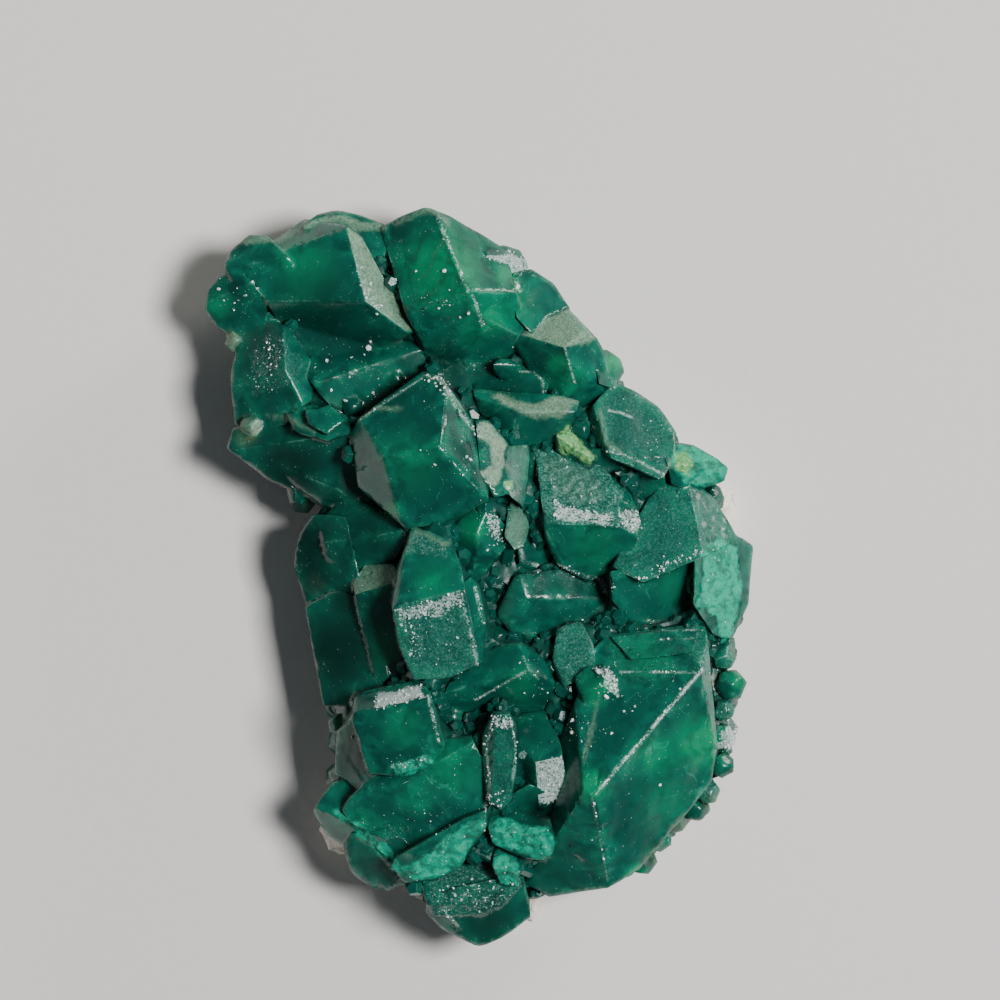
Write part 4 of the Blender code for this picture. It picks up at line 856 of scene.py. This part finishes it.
def dioptase():
    """Deep emerald green with painted glow from inside and painted shade in hollows, dusted faces and frosted
    ridges that partly carry painted reflections and highlights, and turquoise crusts.
    """
    look = Finish("dioptase")
    tone = look.mark("tone")
    open_ = look.mark("open")
    film_and_reflection = look.mark("tan_film_and_reflection")
    bloom_and_reflection = look.mark("grey_bloom_and_reflection")
    crust = look.mark("crust")
    pale = look.mark("pale_crust")
    ridge = look.mark("ridge")
    glow = look.mark("glow")
    dark = look.mark("dark")
    frost_and_reflection = look.mark("frost_and_reflection")
    mass = look.mark("mass")
    brown = look.mark("brown")
    edge = look.mark("edge")
    rim = look.mark("rim")
    side = look.mark("side")
    broad = look.cloud(0.45, 2.0)
    veil = look.cloud(1.6, 3.0, 0.6, 0.4)
    patch = look.cloud(1.2, 3.0, 0.55, 0.5)
    grain = look.cloud(9.0, 3.0, 0.7)
    fine = look.cloud(24.0, 2.0, 0.6)

    # The stone: clouds and veils, painted light on the rims, painted inner glow and fine cracks, then painted
    # shade in hollows, darker spots that are mostly painted shade, random murk, and brown stains.
    green = look.blend(tint(0, 60, 52), tint(0, 98, 82), (broad * 0.9 + tone * 0.35 - 0.15).held())
    green = look.blend(green, tint(0, 84, 80), veil.between(0.5, 0.8) * 0.5)
    # Painted light on the rims near worn edges.
    green = look.blend(green, tint(2, 128, 98), (rim * patch.between(0.35, 0.65) * 0.5).held())
    # Painted glow from inside.
    green = look.blend(green, tint(6, 150, 100), (glow * (0.35 + patch * 1.2)).held() * 0.75)
    crack = look.cloud(0.5, 1.0, 0.5, 0.3) - 0.5
    line = (1 - (crack * crack).between(0.0, 0.00006)) * patch.between(0.5, 0.62)
    green = look.blend(green, tint(40, 150, 122), (line * 0.35).held())
    # Painted shade: darker where the surface sees little sky, in hollows and grooves.
    deep = (1 - open_.between(0.2, 0.85)) * 0.68
    murk = (1 - patch.between(0.3, 0.55)) * 0.22
    green = look.blend(green, tint(0, 26, 22), deep.most(dark * 0.85).most(murk).held())
    green = look.blend(green, tint(128, 104, 62), (brown * (veil.between(0.4, 0.7) + 0.2)).held() * 0.7)

    # The tan film, the grey bloom and the sugary frost, each partly painted reflection of the light.
    tan = look.blend(tint(94, 132, 106), tint(150, 180, 156), grain.between(0.35, 0.7))
    tan_share = (film_and_reflection * (0.5 + grain.between(0.2, 0.45) * 0.5) * (0.6 + veil * 0.7)).held()
    # Painted reflection of the light, partly a tan film.
    colour = look.blend(green, tan, tan_share * 0.85)
    grey = look.blend(tint(24, 108, 92), tint(102, 154, 140), grain.between(0.4, 0.75))
    grey_share = (bloom_and_reflection * (0.25 + grain.between(0.35, 0.65))).held()
    # Painted reflection of the light, partly a grey bloom.
    colour = look.blend(colour, grey, grey_share * 0.8)
    frost_and_reflection_share = (grain + fine * 0.4 + frost_and_reflection * 0.6 - 1.0).between(0.0, 0.12) * (frost_and_reflection * 4.0).held()
    # Painted reflection of the light, partly white frost.
    colour = look.blend(colour, tint(186, 204, 200), frost_and_reflection_share * 0.85)

    # Rubbed edges, and bright ridges that are partly frost and partly painted highlight.
    rubbed = (broad * 0.6 + patch * 0.8 + grain * 0.6 - 0.82).between(0.15, 0.4)
    worn = (edge.between(0.45, 0.98) * rubbed * 0.45).held()
    colour = look.blend(colour, tint(96, 158, 136), worn)
    ridge_share = (ridge * (grain + veil * 0.9 - 0.74).between(0.1, 0.3)).held()
    # Painted highlight along the ridges, partly frost.
    colour = look.blend(colour, tint(170, 204, 194), ridge_share * 0.75)

    # White specks in two sizes, partly dust and partly painted glints, thickest on dusty faces and along
    # ridges.
    nests = patch.between(0.5, 0.7)
    specks, lots = look.cells(8.0)
    lot = look.part(lots, "Red")
    dust_and_glint = bloom_and_reflection * 0.14 + ridge * 0.3 + rim * nests * 0.1 + nests * 0.05 + 0.004
    speck_and_glint = (lot > (1 - dust_and_glint)) * (1 - specks.between(0.1, 0.2))
    tiny, draws = look.cells(17.0)
    draw = look.part(draws, "Green")
    speck_and_glint = speck_and_glint.most((draw > (1 - dust_and_glint * 1.6)) * (1 - tiny.between(0.14, 0.26)) * 0.8)
    # Painted glints, partly dust.
    colour = look.blend(colour, tint(206, 226, 222), (speck_and_glint * 0.85).held())

    # The turquoise and the yellow-green crusts.
    teal = look.blend(tint(0, 104, 82), tint(0, 166, 132), veil.between(0.32, 0.6))
    teal = look.blend(teal, tint(0, 92, 74), (1 - grain.between(0.34, 0.46)) * 0.6)
    teal = look.blend(teal, tint(70, 206, 172), (grain.between(0.58, 0.7) * 0.4).held())
    crust_share = (crust * 1.6 + grain * 0.8 - 0.7).held()
    colour = look.blend(colour, teal, crust_share)
    lime = look.blend(tint(60, 160, 96), tint(176, 206, 132), grain.between(0.4, 0.7))
    pale_share = (pale * 1.6 + grain * 0.8 - 0.8).held()
    colour = look.blend(colour, lime, pale_share * 0.9)

    # How dull each finish is, and how grainy.
    matt = (tan_share * 0.4 + grey_share * 0.3 + crust_share * 0.6 + pale_share * 0.5 + frost_and_reflection_share * 0.4
            + mass * 0.3).held()
    rough = 0.12 + tone * 0.1 + patch * 0.1 + matt * 0.75 + side * 0.3
    dusting = ((film_and_reflection + bloom_and_reflection + crust + pale + frost_and_reflection) * 0.6).held()
    height = fine * 0.25 + grain * (0.2 + dusting) + veil * 0.5
    return look.set(
        Base_Color=colour,
        Roughness=rough.held(),
        Normal=look.bump(height, 0.35, 0.00005),
        Coat_Weight=(0.15 - matt * 0.3 - side * 0.15).held(),
        Coat_Roughness=0.12,
        IOR=1.66,
        Specular_IOR_Level=0.3,
    )


def calcite():
    """Cream calcite with brown stains and dark hairline cracks."""
    look = Finish("calcite")
    broad = look.cloud(0.7, 3.0, 0.6)
    grain = look.cloud(5.0, 4.0, 0.65)
    spot = {"Vector": look.place, "Scale": 1.1}
    cracks = look.node("ShaderNodeTexVoronoi", {"feature": "DISTANCE_TO_EDGE"}, spot)
    colour = look.blend(tint(240, 230, 210), tint(255, 252, 243), grain.between(0.35, 0.65))
    colour = look.blend(colour, tint(150, 112, 70), broad.between(0.54, 0.74) * 0.6)
    crack_share = (1 - cracks.between(0.0, 0.03)) * grain.between(0.45, 0.6) * 0.4
    colour = look.blend(colour, tint(92, 72, 50), crack_share)
    height = grain * 0.8 + cracks.between(0.0, 0.08) * 0.5
    return look.set(
        Base_Color=colour,
        Roughness=(0.5 + grain * 0.35).held(),
        Normal=look.bump(height, 0.5, 0.00008),
        Coat_Weight=0.1,
        Subsurface_Weight=0.2,
        Subsurface_Radius=(1.0, 0.8, 0.6),
        Subsurface_Scale=0.0005,
    )


def grain_white():
    """The white of the sugary grains, faintly green where it is thin."""
    look = Finish("white_grain")
    grain = look.cloud(6.0, 2.0)
    colour = look.blend(tint(190, 214, 208), tint(244, 248, 248), grain.between(0.35, 0.6))
    return look.set(Base_Color=colour, Roughness=(0.2 + grain * 0.3).held(), Coat_Weight=0.4)


def crystals():
    """The crystals with all their finishes, and the small ones that fill their grooves."""
    mesh, heights = crystal_mesh()
    green = dioptase()
    level = groove_levels(heights)
    intergrowth(heights, level, green)
    groove_crystals(heights, level, green)
    piece = finished("grown_crystals", mesh, green)
    piece.data.shade_smooth()
    piece.data.set_sharp_from_angle(angle=math.radians(26))
    tree = mark_finishes(piece, heights)
    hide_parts("dioptase_crystals")
    return tree


def groove_levels(heights):
    """How high the small crystals fill at each grid point: well up in the deep grooves, sunk elsewhere."""
    level = heights.spread(GROOVE_REACH, np.maximum).spread(GROOVE_REACH, np.minimum)
    deep = level.values - heights.values > GROOVE_LEAST
    return Field(np.where(deep, level.values - GROOVE_DEPTH, heights.values - SUNK))


def intergrowth(heights, level, green):
    """The mass of dioptase that closes the grooves between the large crystals."""
    lowest_near = heights.spread(RIM_MARGIN, np.minimum)
    mesh = bmesh.new()
    bmesh.ops.create_grid(mesh, x_segments=150, y_segments=224, size=1.0)
    bmesh.ops.scale(mesh, vec=(10.7, 16.4, 1), verts=mesh.verts)
    places = np.array([vert.co[:2] for vert in mesh.verts])
    outside = []
    for vert, top, lowest in zip(mesh.verts, level.at(places), lowest_near.at(places)):
        if lowest < 1.0:
            outside.append(vert)
            continue
        spot = Vector((vert.co.x, vert.co.y, 0))
        bumpy = top + 0.16 * noise.noise(spot * 1.6) + 0.06 * noise.noise(spot * 4.5)
        vert.co.z = max(FILL_FLOOR + 0.2, bumpy)
    bmesh.ops.delete(mesh, geom=outside, context="VERTS")
    rim = [edge for edge in mesh.edges if len(edge.link_faces) == 1]
    walls = bmesh.ops.extrude_edge_only(mesh, edges=rim)["geom"]
    for vert in (item for item in walls if isinstance(item, bmesh.types.BMVert)):
        vert.co.z = FILL_FLOOR
    bmesh.ops.holes_fill(mesh, edges=[edge for edge in mesh.edges if len(edge.link_faces) == 1], sides=0)
    bmesh.ops.triangulate(mesh, faces=mesh.faces)
    bmesh.ops.recalc_face_normals(mesh, faces=mesh.faces)
    piece = finished("grown_between", mesh, green)
    piece.data.shade_smooth()
    piece.data.set_sharp_from_angle(angle=math.radians(24))
    points, corners = corner_places(piece)
    # The openness drives the painted shade in the grooves.
    paint(piece, "open", openness(points, heights)[corners] * 0.9)
    paint(piece, "tone", np.full(len(corners), 0.4))
    paint(piece, "mass", np.ones(len(corners)))


def groove_crystals(heights, level, green):
    """Small stubby crystals that stick out of the filled grooves."""
    chance = random.Random(21)
    deep = (level.values > heights.values + 0.35) & (heights.values > FILL_FLOOR)
    places = [tuple(place) for place in Field.places()[deep.ravel()]]
    least, greatest = GROOVE_RADII
    mesh = bmesh.new()
    for x, y in chance.sample(places, min(GROOVE_CRYSTALS, len(places))):
        top = level.at(np.array([(x, y)]))[0]
        radius = least + (greatest - least) * chance.random() ** 2
        crystal = bmesh.new()
        bmesh.ops.create_cone(crystal, cap_ends=True, segments=6, radius1=radius, radius2=radius * 0.95,
                              depth=radius * 4)
        for turn in range(3):
            angle = math.radians(120 * turn)
            normal = Vector((math.cos(angle) * 0.66, math.sin(angle) * 0.66, 0.75))
            geometry = list(crystal.verts) + list(crystal.edges) + list(crystal.faces)
            bmesh.ops.bisect_plane(crystal, geom=geometry, plane_co=(0, 0, radius * 1.8), plane_no=normal,
                                   clear_outer=True, dist=1e-5)
            rim = [edge for edge in crystal.edges if len(edge.link_faces) == 1]
            if rim:
                bmesh.ops.holes_fill(crystal, edges=rim, sides=0)
        axis = Vector((chance.gauss(0, 0.5), chance.gauss(0, 0.5), 1.0))
        lean = axis.to_track_quat("Z", "Y").to_matrix().to_4x4()
        place = Matrix.Translation((x, y, top - radius * chance.uniform(0.6, 1.4)))
        roll = Matrix.Rotation(chance.uniform(0, 3.1), 4, "Z")
        bmesh.ops.transform(crystal, matrix=place @ lean @ roll, verts=crystal.verts)
        shape = bpy.data.meshes.new("groove_crystal")
        crystal.to_mesh(shape)
        crystal.free()
        mesh.from_mesh(shape)
        bpy.data.meshes.remove(shape)
    bmesh.ops.bevel(mesh, geom=mesh.edges, offset=GROOVE_BEVEL, segments=1, profile=0.5, affect="EDGES",
                    material=-1)
    bmesh.ops.triangulate(mesh, faces=mesh.faces)
    bmesh.ops.recalc_face_normals(mesh, faces=mesh.faces)
    piece = finished("groove_crystals", mesh, green)
    points, corners = corner_places(piece)
    # The openness drives the painted shade around the small crystals.
    paint(piece, "open", openness(points, heights)[corners])
    paint(piece, "tone", np.repeat([chance.random() for _ in range(len(corners) // 3)], 3))


def within(outline, chance):
    """A random place inside an outline."""
    xs, ys = zip(*outline)
    while True:
        x, y = chance.uniform(min(xs), max(xs)), chance.uniform(min(ys), max(ys))
        if inside_by(np.array([(x, y)]), outline)[0] > 0:
            return x, y


def white_grains(tree):
    """White grains that sit on the crystals, half sunk in them."""
    chance = random.Random(11)
    places = [(x, y, radius) for x, y, radius in GRAINS]
    for count, radius, outline in GRAIN_ZONES:
        nests = [within(outline, chance) for _ in range(count // 3)]
        for _ in range(count):
            x, y = chance.choice(nests)
            x, y = x + chance.gauss(0, 0.22), y + chance.gauss(0, 0.22)
            places.append((x, y, radius * (0.3 + 1.0 * chance.random() ** 4)))
    for width, strength, line in RIDGES:
        for (x0, y0), (x1, y1) in zip(line, line[1:]):
            for _ in range(int(math.hypot(x1 - x0, y1 - y0) * 9 * strength)):
                along = chance.random()
                x, y = x0 + (x1 - x0) * along, y0 + (y1 - y0) * along
                if noise.noise(Vector((x, y, 0)) * 1.9) > -0.15:
                    places.append((x + chance.gauss(0, width * 0.6), y + chance.gauss(0, width * 0.6),
                                   0.02 + 0.05 * chance.random() ** 3))
    for strength, outline in SUGAR_FROST_AND_REFLECTION.values():
        for _ in range(int(strength * 60)):
            x, y = within(outline, chance)
            places.append((x, y, 0.025 + 0.05 * chance.random() ** 2))
    mesh = bmesh.new()
    for x, y, radius in places:
        spot, normal, _, _ = tree.ray_cast(Vector((x, y, SKY)), DOWN)
        if spot is None:
            continue
        turn = Matrix.Rotation(chance.uniform(0, 6.28), 4, Vector((chance.random(), chance.random(), 1.0)))
        length, width = radius * chance.uniform(0.8, 1.5), radius * chance.uniform(0.7, 1.1)
        size = Matrix.Diagonal((length, width, radius * 0.8, 1))
        lift = Matrix.Translation(spot + normal * radius * 0.25)
        made = bmesh.ops.create_icosphere(mesh, subdivisions=1, radius=1.0, matrix=lift @ turn @ size)
        for vert in made["verts"]:
            vert.co += (vert.co - spot) * chance.uniform(-0.35, 0.25)
    piece = finished("white_grains", mesh, grain_white())


def matrix():
    """The calcite slab with a lumpy broken surface. Its flat underside stays flat."""
    mesh = solid_of("calcite_matrix")
    refine(mesh, lambda edge: CALCITE_EDGE)
    mesh.normal_update()
    moves = []
    for vert in mesh.verts:
        free = min(1.0, max(0.0, vert.co.z / 0.6))
        lumps = noise.fractal(vert.co * 0.9, 1.0, 2.0, 4) * 0.16 + noise.noise(vert.co * 3.2) * 0.06
        pits = noise.voronoi(vert.co * 1.1)[0][0] * 0.26 - 0.1
        moves.append(vert.normal * free * (lumps - pits))
    for vert, move in zip(mesh.verts, moves):
        vert.co += move
    piece = finished("broken_calcite", mesh, calcite())
    piece.data.shade_smooth()
    piece.data.set_sharp_from_angle(angle=math.radians(40))
    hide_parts("calcite_matrix")


def table():
    """The pale surface that the specimen lies on."""
    mesh = bmesh.new()
    bmesh.ops.create_grid(mesh, x_segments=1, y_segments=1, size=1.5)
    data = bpy.data.meshes.new("table")
    mesh.to_mesh(data)
    mesh.free()
    look = Finish("table_paper")
    fibre = look.cloud(2.5, 3.0)
    data.materials.append(look.set(
        Base_Color=look.blend(tint(232, 231, 228), tint(238, 237, 235), fibre),
        Roughness=(0.8 + fibre * 0.1).held(),
    ))
    top = bpy.data.objects.new("table", data)
    bpy.context.scene.collection.objects.link(top)


def lamp(name, bearing, height, distance, size, power, colour):
    """A square lamp that points at the specimen."""
    light = bpy.data.lights.new(name, "AREA")
    light.size = size
    light.energy = power
    light.color = colour
    made = bpy.data.objects.new(name, light)
    turn, climb = math.radians(bearing - FRAME_TURN), math.radians(height)
    way = Vector((math.sin(turn) * math.cos(climb), math.cos(turn) * math.cos(climb), math.sin(climb)))
    made.location = Vector((0, 0, 0.004)) + way * distance
    made.rotation_euler = way.to_track_quat("Z", "Y").to_euler()
    bpy.context.scene.collection.objects.link(made)


def studio():
    """Two soft lamps, a dim even surround and the camera looking straight down."""
    world = bpy.data.worlds.new("studio")
    world.use_nodes = True
    surround = world.node_tree.nodes["Background"]
    surround.inputs["Color"].default_value = (0.86, 0.92, 1.0, 1.0)
    surround.inputs["Strength"].default_value = 0.09
    bpy.context.scene.world = world
    for name, (bearing, height, distance, size, power, colour) in LAMPS.items():
        lamp(name, bearing, height, distance, size, power, colour)

    camera = bpy.data.cameras.new("camera")
    camera.sensor_width = 36.0
    camera.lens = 36.0 * LENS_DISTANCE / FRAME_WIDTH
    camera.clip_start = 0.01
    camera.clip_end = 10.0
    eye = bpy.data.objects.new("camera", camera)
    eye.location = (FRAME_CENTRE[0] * MM, FRAME_CENTRE[1] * MM, (FOCUS_HEIGHT + LENS_DISTANCE) * MM)
    eye.rotation_euler = (0, 0, math.radians(FRAME_TURN))
    bpy.context.scene.collection.objects.link(eye)
    bpy.context.scene.camera = eye


def main():
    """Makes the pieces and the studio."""
    tree = crystals()
    white_grains(tree)
    matrix()
    table()
    studio()


main()
